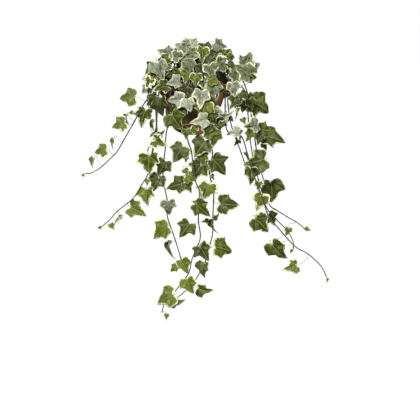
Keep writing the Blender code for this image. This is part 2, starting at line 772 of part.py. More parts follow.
def build_stem(stem, collection, leaf_material):
    """The stem's tube with all its leaves joined to it by one union."""
    thing = new_object(stem.name, tube_mesh(stem, 0.0), collection)
    loose = bpy.data.collections.new(stem.name + "_leaves")
    bpy.context.scene.collection.children.link(loose)
    for number, leaf in enumerate(stem.leaves):
        plate = leaf_plate(leaf, BLADE_THICKNESS, 1.0, True)
        mesh = bpy.data.meshes.new(f"{stem.name}_leaf_{number}")
        plate.to_mesh(mesh)
        plate.free()
        new_object(mesh.name, mesh, loose)
    union = thing.modifiers.new("leaves", "BOOLEAN")
    union.operation = "UNION"
    union.operand_type = "COLLECTION"
    union.collection = loose
    thing.data = evaluated_mesh(thing)
    thing.modifiers.clear()
    for piece in list(loose.objects):
        bpy.data.objects.remove(piece)
    bpy.data.collections.remove(loose)
    thing.data.materials.append(leaf_material)


def turned(name, profile, steps, collection):
    """A solid turned from a profile of (radius, height), given down its outer side."""
    mesh = bpy.data.meshes.new(name)
    mesh.from_pydata([(radius, 0, height) for radius, height in profile], [], [])
    mesh.edges.add(len(profile) - 1)
    for i, edge in enumerate(mesh.edges):
        edge.vertices = (i, i + 1)
    thing = new_object(name, mesh, collection)
    screw = thing.modifiers.new("turn", "SCREW")
    screw.steps = steps
    screw.render_steps = steps
    screw.use_merge_vertices = True
    screw.merge_threshold = 1e-5
    return thing


def inner_radius(height):
    """The radius of the pot's tapered inner wall at this height."""
    share = (-height - BAND_HEIGHT) / (POT_HEIGHT - BAND_HEIGHT)
    return (RIM_RADIUS - BAND_STEP) * (1 - share) + FOOT_RADIUS * share - POT_WALL


def pot_profile():
    """From the middle of the floor up the inside, over the rim and down the outside to the foot."""
    floor = POT_WALL - POT_HEIGHT
    step = POT_WALL - BAND_HEIGHT
    edge = 0.7 * MM
    return (
        (0, floor),
        (inner_radius(floor), floor),
        (inner_radius(step), step),
        (RIM_RADIUS - POT_WALL, step),
        (RIM_RADIUS - POT_WALL, 0),
        (RIM_RADIUS - edge, 0),
        (RIM_RADIUS, -edge),
        (RIM_RADIUS, -BAND_HEIGHT),
        (RIM_RADIUS - BAND_STEP, -BAND_HEIGHT),
        (FOOT_RADIUS + edge, 2 * edge - POT_HEIGHT),
        (FOOT_RADIUS - edge, -POT_HEIGHT),
        (0, -POT_HEIGHT),
    )


def cylinder(name, radius, low, high, sides, collection):
    """A plain upright cylinder mesh between two heights."""
    shape = bmesh.new()
    bmesh.ops.create_cone(
        shape, cap_ends=True, segments=sides, radius1=radius, radius2=radius, depth=high - low
    )
    bmesh.ops.translate(shape, verts=shape.verts[:], vec=(0, 0, (low + high) / 2))
    mesh = bpy.data.meshes.new(name)
    shape.to_mesh(mesh)
    shape.free()
    cutter = new_object(name, mesh, collection)
    cutter.hide_render = True
    cutter.display_type = "WIRE"
    return cutter


def cut(thing, cutters):
    """Cuts a collection's objects out of a thing and removes them."""
    modifier = thing.modifiers.new("cut", "BOOLEAN")
    modifier.operand_type = "COLLECTION"
    modifier.collection = cutters
    thing.data = evaluated_mesh(thing)
    thing.modifiers.clear()
    for cutter in list(cutters.objects):
        bpy.data.objects.remove(cutter)
    bpy.data.collections.remove(cutters)


def cutter_collection(name):
    made = bpy.data.collections.new(name)
    bpy.context.scene.collection.children.link(made)
    return made


def build_pot(collection):
    """The pot, with holes in the band for a hanger's hooks and drain holes round a solid middle."""
    pot = turned("pot", pot_profile(), TURN_STEPS, collection)
    cutters = cutter_collection("pot_cutters")
    for i in range(HANGER_HOLES):
        angle = 2 * math.pi * (i + 0.5) / HANGER_HOLES
        near, far = 0.9 * RIM_RADIUS, 1.1 * RIM_RADIUS
        hole = cylinder("hanger_hole", HANGER_HOLE_RADIUS, near, far, HOLE_SIDES, cutters)
        hole.location = (0, 0, -BAND_HEIGHT / 2)
        hole.rotation_euler = (0, math.pi / 2, angle)
    for i in range(DRAIN_HOLES):
        angle = 2 * math.pi * i / DRAIN_HOLES
        low, high = -POT_HEIGHT - POT_WALL, 2 * POT_WALL - POT_HEIGHT
        hole = cylinder("drain_hole", DRAIN_HOLE_RADIUS, low, high, HOLE_SIDES, cutters)
        hole.location = (DRAIN_CIRCLE * math.cos(angle), DRAIN_CIRCLE * math.sin(angle), 0)
    bpy.context.view_layer.update()
    cut(pot, cutters)
    pot.data.shade_smooth()
    pot.data.set_sharp_from_angle(angle=math.radians(30))
    pot.data.materials.append(material("pot_plastic", (0.17, 0.08, 0.045), 0.5))


def soil_profile():
    """From the middle of the domed top, out to the pot's wall and down to the floor."""
    floor = POT_WALL - POT_HEIGHT + SEAT_GAP
    wide = inner_radius(SOIL_EDGE) - SEAT_GAP
    top = []
    for i in range(SOIL_RINGS + 1):
        share = i / SOIL_RINGS
        top.append((wide * share, SOIL_CROWN + (SOIL_EDGE - SOIL_CROWN) * share * share))
    return (*top, (inner_radius(floor) - SEAT_GAP, floor), (0, floor))


def build_soil(stems, collection):
    """The soil, lumpy on top, with a plain hole for each stem."""
    soil = turned("soil", soil_profile(), TURN_STEPS, collection)
    soil.data = evaluated_mesh(soil)
    soil.modifiers.clear()
    edge = inner_radius(SOIL_EDGE) - 2 * MM
    for vertex in soil.data.vertices:
        if vertex.co.z > SOIL_EDGE and vertex.co.xy.length < edge:
            vertex.co.z += SOIL_LUMP * noise.noise(vertex.co / (9 * MM))
    cutters = cutter_collection("soil_cutters")
    for stem in stems:
        hole = cylinder("hole", STEM_HOLE_RADIUS, STEM_FOOT - SEAT_GAP, 0, STEM_HOLE_SIDES, cutters)
        hole.location = (stem.line[0].x, stem.line[0].y, 0)
    bpy.context.view_layer.update()
    cut(soil, cutters)
    soil.data.materials.append(material("soil", (0.03, 0.02, 0.014), 0.95))


def main():
    for thing in list(bpy.data.objects):
        bpy.data.objects.remove(thing)
    collection = bpy.data.collections.new("potted_ivy")
    bpy.context.scene.collection.children.link(collection)
    stems = grow_stems()
    grow_leaves(stems)
    build_pot(collection)
    build_soil(stems, collection)
    leaf_material = material("ivy_leaf", (0.21, 0.29, 0.12), 0.45)
    for stem in stems:
        build_stem(stem, collection, leaf_material)


main()
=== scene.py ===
"""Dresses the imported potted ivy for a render: fine leaves, stalks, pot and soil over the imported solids.

The plant grows here by the same rules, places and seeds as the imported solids, so each fine leaf lies where
its plain one does. Metres, +Z up. The origin is the middle of the pot's rim plane.

Places on the front of the plant are written as they are seen from the front, looking down by SEEN_FROM:
millimetres across and up from the rim's middle, with a depth behind it.
"""

import json
import math
import random
from dataclasses import dataclass

import bmesh
import bpy
import numpy as np
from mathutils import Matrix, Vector, noise
from mathutils.bvhtree import BVHTree

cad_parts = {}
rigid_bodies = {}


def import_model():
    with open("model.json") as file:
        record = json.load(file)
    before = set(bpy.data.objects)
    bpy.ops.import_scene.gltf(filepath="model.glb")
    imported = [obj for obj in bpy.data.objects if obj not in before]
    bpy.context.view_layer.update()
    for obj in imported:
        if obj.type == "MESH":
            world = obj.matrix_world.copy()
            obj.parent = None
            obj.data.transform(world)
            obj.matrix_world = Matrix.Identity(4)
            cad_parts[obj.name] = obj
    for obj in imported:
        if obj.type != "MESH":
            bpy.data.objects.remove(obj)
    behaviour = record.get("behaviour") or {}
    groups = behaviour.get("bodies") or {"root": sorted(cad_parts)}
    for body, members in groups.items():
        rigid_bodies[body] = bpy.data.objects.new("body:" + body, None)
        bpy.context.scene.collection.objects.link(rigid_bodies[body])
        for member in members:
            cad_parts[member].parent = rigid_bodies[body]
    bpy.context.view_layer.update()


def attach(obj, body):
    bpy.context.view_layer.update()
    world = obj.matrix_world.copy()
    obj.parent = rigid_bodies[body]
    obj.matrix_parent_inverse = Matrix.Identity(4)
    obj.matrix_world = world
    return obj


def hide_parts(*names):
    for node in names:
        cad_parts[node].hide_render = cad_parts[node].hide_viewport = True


MM = 0.001

# Pot
RIM_RADIUS = 70 * MM
BAND_HEIGHT = 14 * MM
BAND_STEP = 3.8 * MM
FOOT_RADIUS = 42 * MM
POT_HEIGHT = 97 * MM
POT_WALL = 2.2 * MM
TURN_STEPS = 28
HANGER_HOLES = 4
HANGER_HOLE_RADIUS = 2.5 * MM
DRAIN_HOLES = 6
DRAIN_HOLE_RADIUS = 4 * MM
DRAIN_CIRCLE = 27 * MM

# Soil
SOIL_EDGE = -16 * MM
SOIL_CROWN = -11 * MM
SEAT_GAP = 0.3 * MM
STEM_FOOT = -32 * MM

# Stems. Where they cross over the rim is given as (distance from the axis, height).
STEM_RADIUS = 1.25 * MM
STEM_TIP_RADIUS = 0.8 * MM
STEM_STEP = 12 * MM
JOIN_DISTANCE = 0.01 * MM
LEAST_TURN = math.radians(14)
LONGEST_RUN = 55 * MM
ROOT_STEP = 4 * MM
ROOT_APART = 3.5 * MM
SOIL_CLEAR = -6 * MM
CREST_INNER = (57 * MM, 15 * MM)
CREST_OUTER = (75 * MM, 9 * MM)

# Leaves, whose outlines are in units of the length from petiole to tip
BLADE_THICKNESS = 0.8 * MM
PETIOLE_WIDTH = 1.5 * MM
LARGE_LEAF = 42 * MM
SMALL_LEAF = 14 * MM
HIDDEN_GROWTH = 1.12
LARGE_OUTLINE = ((0.40, -0.13), (0.48, 0.10), (0.58, 0.36), (0.27, 0.50))
MIDDLE_OUTLINE = ((0.38, -0.08), (0.50, 0.32), (0.25, 0.50))
SMALL_OUTLINE = ((0.34, -0.04), (0.40, 0.34))
MIDRIB_POINT = (0.0, 0.42)
CENTRE_OF_BLADE = 0.42
LEAF_WIDTHS = (0.88, 1.08)
LEAF_FOLDS = (0.10, 0.32)
LEAF_DROOPS = (0.06, 0.24)
END_LEAF = 10 * MM
END_DROP = 0.6

# Petioles: one that runs nearly along the blade is straight unless it is long, when it arches out and up
# by shares of its length, and any other bends, a little under the blade if it comes from behind it
SHORTEST_PETIOLE = 4 * MM
LONGEST_PETIOLE = 52 * MM
STRAIGHT_PETIOLE = 27 * MM
LONGEST_LEAD = 9 * MM
LEAD_SHARE = 0.35
SIDEWAYS = 0.72
UNDER_BLADE = -0.2
UNDER_DROP = 4 * MM
UNDER_PART = 0.6
ARCH_OUT = 0.04
ARCH_UP = 0.06
LEAST_LEVEL = 0.4
PAST_COST = 0.5

# How far a leaf strays from the one wanted: at the first try, and how much more by the last
ATTEMPTS = 110
SEED_STEP = 1000
FACE_STRAY = (0.14, 0.6)
TIP_STRAY = (0.1, 0.6)
DEPTH_STRAY = (3 * MM, 34 * MM)
PLACE_STRAY = 6 * MM
TURN_STRAY = 0.15
SHRINK = 0.2
DEPTH_WAYS = (-1.0, 1.1)

# The room kept clear round a leaf, a stem and the pot
TEST_THICKNESS = 1.9 * MM
TEST_MARGIN = 1.04
TEST_TUBE = 0.6 * MM
POT_CLEAR = 1.5 * MM

# The crown's dome and how much lower it is at the back, how far out stems and leaves hang, how much a leaf
# that faces the viewer also faces outwards and up, and how the plant is seen
DOME = Vector((92, 92, 80)) * MM
BACK_FALL = 0.32
HANG_RADIUS = 80 * MM
FRONT_RADIUS = 88 * MM
IN_FRONT = 7 * MM
FACE_OUTWARD = 0.3
FACE_UPWARD = 0.1
SEEN_FROM = math.radians(30)
TO_VIEWER = Vector((0, -math.cos(SEEN_FROM), math.sin(SEEN_FROM)))
SEEN_RIGHT = Vector((1, 0, 0))
SEEN_UP = Vector((0, math.sin(SEEN_FROM), math.cos(SEEN_FROM)))
UP = Vector((0, 0, 1))

# Trailing stems seen from the front: where each stands in the soil, its depth where it leaves the rim and
# at its end, its route as (across, up), and its leaves as (across, up, length, way the tip points, turn).
# The way is in degrees, 0 to the right and 90 up, and a turn shows the leaf from its edge.
FRONT_STEMS = {
    "stem_left": (
        (-48, -6),
        (-8, -42),
        ((-86, -28), (-94, -38), (-104, -54), (-118, -80), (-132, -104), (-140, -118), (-152, -138),
         (-168, -154), (-186, -170), (-204, -180), (-214, -180)),
        ((-130, -30, 30, 180, 0), (-124, -60, 10, 170, 0),
         (-100, -70, 33, -100, 0), (-132, -76, 22, -90, 60), (-148, -84, 28, -165, 0),
         (-160, -120, 20, -110, 55), (-184, -136, 22, -170, 0), (-202, -158, 18, -110, 55),
         (-220, -184, 8, 180, 0)),
    ),
    "stem_left_front": (
        (-42, -24),
        (-40, -72),
        ((-72, -72), (-72, -98), (-76, -116), (-86, -166), (-92, -186), (-102, -202), (-119, -229),
         (-152, -256), (-164, -270), (-182, -286)),
        ((-80, -88, 20, -90, 45), (-80, -104, 10, -150, 0), (-64, -102, 16, 20, 35),
         (-66, -118, 28, -20, 0), (-88, -162, 36, -100, 0), (-92, -198, 12, -90, 0),
         (-94, -226, 30, -90, 0), (-112, -254, 32, -35, 0), (-152, -272, 22, -155, 40),
         (-162, -286, 14, -60, 0), (-187, -288, 8, 180, 0)),
    ),
    "stem_front_left": (
        (-30, -36),
        (-62, -30),
        ((-46, -72), (-50, -86), (-54, -106), (-56, -136), (-58, -152), (-60, -190), (-52, -236),
         (-52, -266), (-38, -308), (-24, -354)),
        ((-62, -170, 30, -110, 0), (-74, -200, 33, -120, 0), (-50, -248, 27, -90, 0),
         (-66, -296, 35, -145, 0), (-49, -332, 30, -95, 65), (-40, -370, 16, -150, 0),
         (-18, -366, 27, -60, 0)),
    ),
    "stem_front": (
        (-10, -46),
        (-84, -112),
        ((-14, -92), (-10, -118), (-4, -136), (0, -166), (5, -198), (12, -218), (10, -272), (14, -306),
         (6, -329), (-3, -352), (-9, -378), (-22, -396), (-42, -422), (-57, -436), (-63, -458)),
        ((-14, -104, 18, -90, 0), (0, -98, 12, -90, 0), (-30, -142, 34, -120, 0), (-14, -152, 12, -90, 0),
         (-14, -178, 14, -60, 0), (-5, -190, 20, -20, 0), (-34, -204, 31, -165, 0),
         (-10, -208, 20, -60, 0), (4, -236, 12, 180, 0), (18, -252, 33, -50, 0),
         (-16, -292, 30, -125, 0), (-8, -404, 30, -80, 0),
         (-56, -428, 36, -160, 30), (-34, -438, 26, -15, 45), (-54, -466, 12, -90, 0)),
    ),
    "stem_front_right": (
        (14, -46),
        (-80, -58),
        ((24, -86), (32, -116), (38, -142), (32, -180), (40, -214), (39, -260), (38, -300), (31, -327),
         (22, -360), (8, -386), (-6, -406), (-34, -430)),
        ((40, -98, 28, -20, 0), (40, -114, 30, -90, 0), (14, -130, 36, -115, 0), (18, -152, 24, -90, 40),
         (30, -162, 16, -90, 0), (52, -166, 36, -45, 0), (8, -176, 34, -120, 0), (38, -188, 12, -60, 0),
         (26, -216, 34, -100, 0), (70, -242, 36, -10, 0), (38, -286, 26, -90, 55),
         (46, -266, 14, 30, 40), (24, -275, 12, -170, 0), (20, -338, 32, -60, 0), (60, -330, 34, -15, 0),
         (18, -372, 28, -100, 50), (22, -414, 26, -20, 25)),
    ),
    "stem_right_back": (
        (48, 4),
        (6, 46),
        ((86, 4), (96, 6), (108, -24), (114, -60), (120, -96), (126, -136), (134, -172), (144, -206),
         (152, -242), (168, -254), (190, -268), (208, -278), (225, -292)),
        ((107, 45, 30, 60, 0), (123, 32, 24, 30, 0), (116, 10, 20, 0, 0),
         (118, -29, 18, 30, 0), (134, -47, 42, -25, 0), (144, -94, 26, 0, 0), (162, -110, 40, -15, 0),
         (142, -126, 14, -60, 0), (158, -216, 42, -75, 0), (158, -272, 24, -50, 0),
         (230, -292, 11, -20, 0), (190, -296, 15, -100, 0)),
    ),
    "stem_right": (
        (47, -14),
        (-10, -4),
        ((80, -10), (94, -8), (106, -28), (108, -60), (112, -106), (118, -146), (126, -180), (134, -208),
         (146, -248), (168, -274), (186, -292), (194, -304), (200, -318), (200, -332)),
        ((98, 22, 33, 150, 0), (85, 6, 29, -95, 0), (100, -47, 24, -100, 0), (114, -44, 20, -80, 0),
         (116, -84, 26, -160, 0), (112, -104, 24, -110, 0), (130, -112, 18, -90, 0),
         (124, -156, 38, -155, 0), (116, -184, 30, -90, 0), (130, -204, 18, -80, 0),
         (134, -236, 34, -110, 0), (196, -336, 8, -120, 0)),
    ),
    "stem_right_front": (
        (36, -34),
        (-46, -56),
        ((66, -94), (94, -106), (106, -138), (114, -166), (128, -206), (138, -232), (150, -266),
         (170, -290), (202, -325), (229, -341), (254, -364), (266, -386)),
        ((80, -16, 26, -80, 0), (80, -40, 26, -110, 0), (100, -28, 18, -40, 0), (88, -56, 11, -90, 0),
         (100, -78, 14, -60, 0), (80, -100, 22, 180, 35), (136, -282, 37, -45, 0),
         (168, -336, 40, -48, 35), (179, -326, 12, -45, 0), (196, -368, 25, -155, 0),
         (268, -394, 9, -90, 0)),
    ),
}

# Crown shoots: where each stands in the soil, then its points, and its leaves as above.
FRONT_SHOOTS = {
    "shoot_left": (
        (-32, 4),
        ((-42, 2, 20), (-58, -2, 38)),
        ((-57, 57, 30, 155, 0), (-59, 43, 26, -170, 40), (-34, 52, 22, 130, 0), (-67, 22, 33, -75, 0),
         (-87, 26, 24, -150, 25), (-49, 33, 18, 100, 0), (-87, 8, 27, 180, 0), (-87, -3, 22, -110, 0),
         (-48, -20, 30, -140, 0)),
    ),
    "shoot_left_low": (
        (-34, -14),
        ((-48, -22, 12), (-66, -28, 8), (-76, -32, -12), (-78, -34, -34)),
        ((-96, -16, 18, -140, 0), (-65, -9, 29, -135, 0), (-40, -2, 24, -170, 0), (-38, 13, 22, 180, 0),
         (-80, -38, 28, -130, 20), (-65, -49, 32, -90, 0)),
    ),
    "shoot_top": (
        (-12, 14),
        ((-13, 18, 38), (-14, 26, 62)),
        ((-14, 73, 34, 95, 0), (3, 83, 17, 70, 0), (-7, 52, 28, -150, 0), (20, 70, 24, 150, 20),
         (30, 73, 20, 100, 50), (37, 84, 18, 160, 60), (17, 56, 25, -90, 0), (10, 37, 27, -60, 0)),
    ),
    "shoot_top_right": (
        (18, 14),
        ((26, 18, 32), (42, 24, 52)),
        ((52, 73, 22, -30, 20), (54, 60, 15, 90, 0), (70, 58, 24, 60, 0), (73, 48, 15, -45, 0),
         (33, 46, 31, 55, 0), (57, 50, 14, 0, 0), (75, 30, 18, -45, 0), (54, 30, 29, -45, 0)),
    ),
    "shoot_middle": (
        (-4, -12),
        ((-5, -20, 22), (-8, -40, 38)),
        ((-7, 26, 27, -70, 0), (-23, 20, 22, -150, 0), (17, 20, 24, -100, 0), (-13, 4, 24, -100, 0),
         (4, 3, 24, -80, 0), (17, -5, 23, -90, 0), (-18, -23, 26, -110, 0), (0, -16, 20, 0, 55)),
    ),
    "shoot_right": (
        (28, -12),
        ((36, -20, 20), (48, -36, 28)),
        ((35, 20, 26, -80, 0), (41, -3, 22, -10, 0), (42, -20, 31, -80, 0), (34, -34, 22, -100, 25)),
    ),
    "shoot_front_left": (
        (-20, -28),
        ((-22, -48, 13), (-24, -68, 9), (-25, -80, -10), (-28, -86, -34), (-30, -88, -48)),
        ((-34, -37, 30, 185, 0), (-8, -50, 28, -90, 0), (-27, -60, 33, -110, 0), (-33, -80, 36, -40, 0),
         (-15, -42, 22, -70, 0), (2, -97, 17, -90, 0)),
    ),
    "shoot_front_right": (
        (4, -32),
        ((9, -50, 13), (12, -70, 9), (14, -82, -8), (18, -89, -32), (22, -91, -52)),
        ((15, -35, 32, -95, 0), (20, -58, 32, -110, 0), (14, -77, 31, -150, 0), (36, -73, 30, -60, 0),
         (50, -58, 16, -30, 0), (66, -66, 24, 15, 35), (46, -90, 31, -80, 0), (60, -82, 16, 0, 0),
         (29, -95, 25, -95, 0)),
    ),
}

# Shoots behind the middle, whose leaves follow a rule: where each stands, then its points.
BACK_SHOOTS = {
    "shoot_back_right": ((30, 20), ((42, 34, 28), (56, 48, 42))),
    "shoot_back": ((10, 30), ((14, 44, 34), (18, 60, 50))),
    "shoot_back_left": ((-12, 30), ((-18, 46, 34), (-24, 60, 48))),
    "shoot_left_back": ((-28, 18), ((-40, 30, 28), (-56, 42, 40))),
}

# The rule for leaves that aren't read from the front, as layers of the crown's dome: how many the golden
# angle spreads over it, the layer's share of the dome's size, how far down it goes, which leaves are kept
# by how far back they look, and their shortest and longest length.
CROWN_LAYERS = (
    (44, 0.93, -0.25, 0.22, (24, 36)),
    (18, 0.68, 0.10, -1.0, (24, 32)),
)
LAYER_STRAY = (0.93, 1.07)
LAYER_SIDE = 0.7
LAYER_OUT = 0.35
LAYER_FACE_UP = 0.25

# Trailing stems behind the pot: where each stands, the compass angle where it crosses the rim, how far
# it hangs below the rim and how far it leans out there.
BACK_STEMS = {
    "stem_back_right": ((40, 26), 36, 225, 40),
    "stem_back": ((16, 44), 74, 176, 30),
    "stem_back_left": ((-16, 44), 114, 150, 26),
    "stem_left_back": ((-40, 26), 151, 205, 14),
}
BACK_SHARES = (0.12, 0.35, 0.6, 0.8, 1.0)
BACK_WAVE = 4
BACK_WAVE_RATE = 7
BACK_CLEAR = 3 * MM
BACK_LEAF_SPACING = 31 * MM
BACK_LEAVES = (34 * MM, 16 * MM)
LENGTH_STRAY = 4 * MM

# A back leaf's tip points down, to its side and outwards. Its middle lies to the side and down, in leaf
# lengths. Its face looks outwards, and up and to the side as well.
BACK_TIP = (0.8, (0.3, 0.8), 0.2)
BACK_MIDDLE = (0.55, 0.35)
BACK_FACE = (0.35, 0.2)

# Fine blades: half outlines from the petiole's notch to the tip, in leaf lengths
BROAD_LEAF = (
    (0.0, 0.0), (0.13, -0.11), (0.32, -0.14), (0.47, -0.06), (0.53, 0.08), (0.55, 0.22), (0.53, 0.37),
    (0.38, 0.46), (0.29, 0.55), (0.23, 0.70), (0.11, 0.88), (0.0, 1.0),
)
LOBED_LEAF = (
    (0.0, 0.0), (0.13, -0.13), (0.31, -0.20), (0.43, -0.11), (0.41, 0.03), (0.50, 0.18), (0.63, 0.39),
    (0.41, 0.42), (0.25, 0.48), (0.21, 0.63), (0.11, 0.84), (0.0, 1.02),
)
YOUNG_LEAF = (
    (0.0, 0.0), (0.10, -0.07), (0.26, -0.08), (0.36, 0.02), (0.38, 0.12), (0.40, 0.22), (0.42, 0.34),
    (0.30, 0.42), (0.22, 0.50), (0.18, 0.64), (0.09, 0.84), (0.0, 1.0),
)
YOUNG_LENGTHS = (10 * MM, 22 * MM)
LOBING = (0.1, 0.6)
GREEN_LOBING = (0.1, 0.85)
OUTLINE_STRAY = 0.015

# Samples for each stretch of an outline, and the rings of points from the margin to the blade's centre
OUTLINE_SAMPLES = 3
LEAF_RINGS = (1.0, 0.94, 0.86, 0.74, 0.58, 0.38, 0.18)
SMALL_OUTLINE_SAMPLES = 2
SMALL_LEAF_RINGS = (1.0, 0.92, 0.78, 0.50)
RING_CENTRE = (0.0, 0.30)

# How a fine blade stands off its flat plane
FINE_THICKNESS = 0.5 * MM
FOLD_GAIN = 2.0
MIDRIB_ROUNDING = 0.035
DROOP_GAIN = 1.6
LOBE_DROOP = 0.13
ROLL = 0.22
TWIST = 0.35
EDGE_WAVE = (0.010, 0.030)
EDGE_WAVES = (5, 6, 7)
WAVE_STARTS = (0, 6.3)
QUILT = 0.45
QUILT_WIDTH = 0.16

# Main veins to either side of the midrib. A point behind the petiole counts as further from them.
VEIN_ANGLES = (math.radians(52), math.radians(103))
BEHIND_COST = 2.0

# Fine stems, a little swollen where petioles leave them
STALK_SIDES = 8
STALK_STEP = 4 * MM
FINE_STEM_RADIUS = 1.4 * MM
FINE_STEM_TIP_RADIUS = 1.05 * MM
NODE_SWELLING = 0.45 * MM
NODE_REACH = 4 * MM
SWELLING_FALL = 0.6

# Fine petioles. Their radius is this share of the full one at the smallest leaves, and full from FULL_LEAF
# on. Their points are given as (share of the reach, lead along the stem's growth), and they end inside
# the blade.
PETIOLE_SIDES = 6
PETIOLE_STEP = 3 * MM
PETIOLE_RADIUS = 0.48 * MM
THIN_PETIOLE = 0.7
FULL_LEAF = 25 * MM
PETIOLE_POINTS = ((0.3, 0.13), (0.65, 0.104))
PETIOLE_INSIDE = 0.08

# A direction that no stalk starts in. The corners of a tube are counted from the side square to it.
ASKEW = (0.3, 0.5, 0.8)

# A stalk's age: 1 is woody, 0 is a stem's fresh end, and a petiole is below 0
YOUNG_END = (0.75, 1.05)
SHOOT_AGE = 0.55
SHOOT_AGE_FALL = 0.5
PETIOLE_AGE = -0.5

# Fine pot and soil. Lumps are given as (height, width).
FINE_TURN = 192
RIM_ROUNDING = 0.8 * MM
ROUNDING_STEPS = 4
MOST_ROUNDED = 0.45
HANGER_CUT = 14 * MM
DRAIN_CUT = 8.8 * MM
CUTTER_SIDES = 24
CREASE = math.radians(40)
SOIL_GRID = 56
SOIL_CALM = 2 * MM
SOIL_TOP = SOIL_EDGE - 0.1 * MM
SOIL_LUMPS = ((1.2 * MM, 9 * MM), (0.9 * MM, 2.6 * MM), (0.4 * MM, 1.1 * MM))

# Each kind of leaf: its share of cream, of silver grey and of light, as lowest and highest
KINDS = {
    "pale": ((0.35, 0.7), (1.05, 1.6), (0.5, 0.8)),
    "silver": ((0.25, 0.6), (0.7, 1.1), (0.3, 0.7)),
    "bright": ((0.2, 0.5), (0.0, 0.1), (0.6, 0.95)),
    "dull": ((0.2, 0.45), (0.35, 0.55), (0.0, 0.4)),
    "edged": ((0.6, 0.95), (0.1, 0.35), (0.4, 0.8)),
    "fresh": ((0.3, 0.6), (0.3, 0.5), (0.9, 1.2)),
    "green": ((0.16, 0.46), (0.0, 0.1), (-0.4, 0.3)),
    # Inner leaves have light below 0, which paints shade over their whole blade
    "inner": ((0.2, 0.4), (0.0, 0.25), (-0.9, -0.45)),
}
YOUNG_LIGHT = 0.5

# Where the front shows leaves of a kind, as (across, up). The others there are green.
NEAR_PLACE = 9 * MM
KIND_PLACES = {
    "pale": (
        (2, 82), (-96, -16), (-40, -2), (-34, 2), (-23, 20), (57, 50), (-34, -37), (15, -34),
        (-8, -49), (15, -76), (50, -60), (66, -66), (80, -100),
    ),
    "silver": (
        (-57, 57), (107, 45), (-34, 52), (-14, 73), (-7, 52), (-67, 22), (-7, 26), (33, 46), (54, 30),
        (35, 20), (52, 73), (17, -5), (42, -20), (98, 22), (123, 32), (85, 6), (80, -16), (116, -84),
        (-49, 33), (-50, -248),
    ),
    "bright": (
        (-13, 4), (4, 3), (41, -3), (-87, 26), (-87, 8), (17, 56), (70, 58), (116, 10), (18, -152),
        (-14, -178), (-5, -190), (24, -275), (40, -98), (20, -56), (-66, -296), (30, -162), (-94, -226),
        (-40, -370), (-18, -366), (-8, -404), (158, -272),
    ),
    "dull": (
        (14, -130), (112, -180), (-30, -142), (125, -157), (-74, -200), (18, -372), (38, -286),
        (-49, -332),
    ),
    "edged": (
        (-66, -118), (-88, -2), (90, -56), (4, -97), (26, -216), (158, -216), (134, -236), (130, -204),
        (100, -78),
    ),
    "fresh": (
        (-148, -80), (-130, -26), (-162, -116), (-202, -156), (-182, -132), (-112, -254), (112, -104),
        (-152, -272), (-162, -286), (-56, -428), (-34, -438), (22, -414), (196, -368), (190, -296),
    ),
    # These inner places are dark hollows of the crown, whose leaves get painted shade
    "inner": ((-7, -17), (-19, -23)),
}

# Crown leaves inside this share of the bush, and above this height, are inner ones, darkened with painted
# shade, and the kinds of those that only the back shows are drawn
INNER_SHARE = 0.82
INNER_FOOT = -20 * MM
VIEW_DEPTH = 15 * MM
BACK_KINDS = ("silver", "silver", "pale", "bright", "green", "green")
KIND_SEED = 500

# A blade's pattern, in leaf lengths. A noise is given as (scale, detail, roughness), and an edge as the
# values between which it goes from 0 to 1. First, how far apart blades, their halves and their lobes lie in
# the noises.
SEED_SPREAD = 40.0
SIDE_APART = 3.0
LOBE_APART = 0.16

# Cream margin: its reach into the blade, uneven by a broad and a ragged noise, and where it fades to green
CREAM_REACH = 0.13
BROAD_NOISE = (1.9, 1.0, 0.5)
BROAD_GAIN = 3.4
RAGGED_NOISE = (7.0, 2.5, 0.6)
RAGGED_GAIN = 3.6
REACH_LOSS = 2.5
CREAM_EDGE = (-0.008, 0.022)
FADED_PATCH = 0.9
FADED_CREAM = 1.2
FADED_LOSS = 0.55
FADED_EDGE = (0.0, 0.6)

# Green and grey patches: a mottled green, and a grey that is paler in streaks and away from the margin
PATCH_NOISE = (3.6, 3.0, 0.55)
MOTTLE_GAIN = 3.6
MOTTLE_EDGE = (0.1, 1.2)
GREY_GAIN = 0.16
GREY_EDGE = (0.52, 0.59)
STREAK_SCALE = (13.0, 6.0, 1.0)
STREAK_NOISE = (1.0, 3.0, 0.6)
PALE_FROM = 0.9
PALE_GAIN = 0.45
PALE_START = 0.10
PALE_EDGE_LOSS = 0.8
PALE_EDGE = (0.30, 0.78)

# Veins: main ones, fainter side veins between them, and how much they and the midrib colour the blade
VEIN_EDGE = (0.022, 0.004)
SIDE_VEIN_SPACING = 0.15
SIDE_VEIN_EDGE = (0.42, 0.5)
SIDE_VEIN_ENDS = (0.30, 0.02)
SIDE_VEIN_SHARE = 0.28
VEIN_SHARE = 0.36
MIDRIB_EDGE = (0.016, 0.006)
MIDRIB_SHARE = 0.22

# The under side's own colour, the painted shade that darkens the inner leaves towards black, and the relief
UNDER_SHARE = 0.6
PAINTED_SHADE_EDGE = (-0.9, 0.1)
FINE_NOISE = (30.0, 2.0, 0.5)
FINE_RELIEF = 0.35
PATCH_RELIEF = 0.8
QUILT_RELIEF = 12.0
QUILT_LIMIT = 0.14

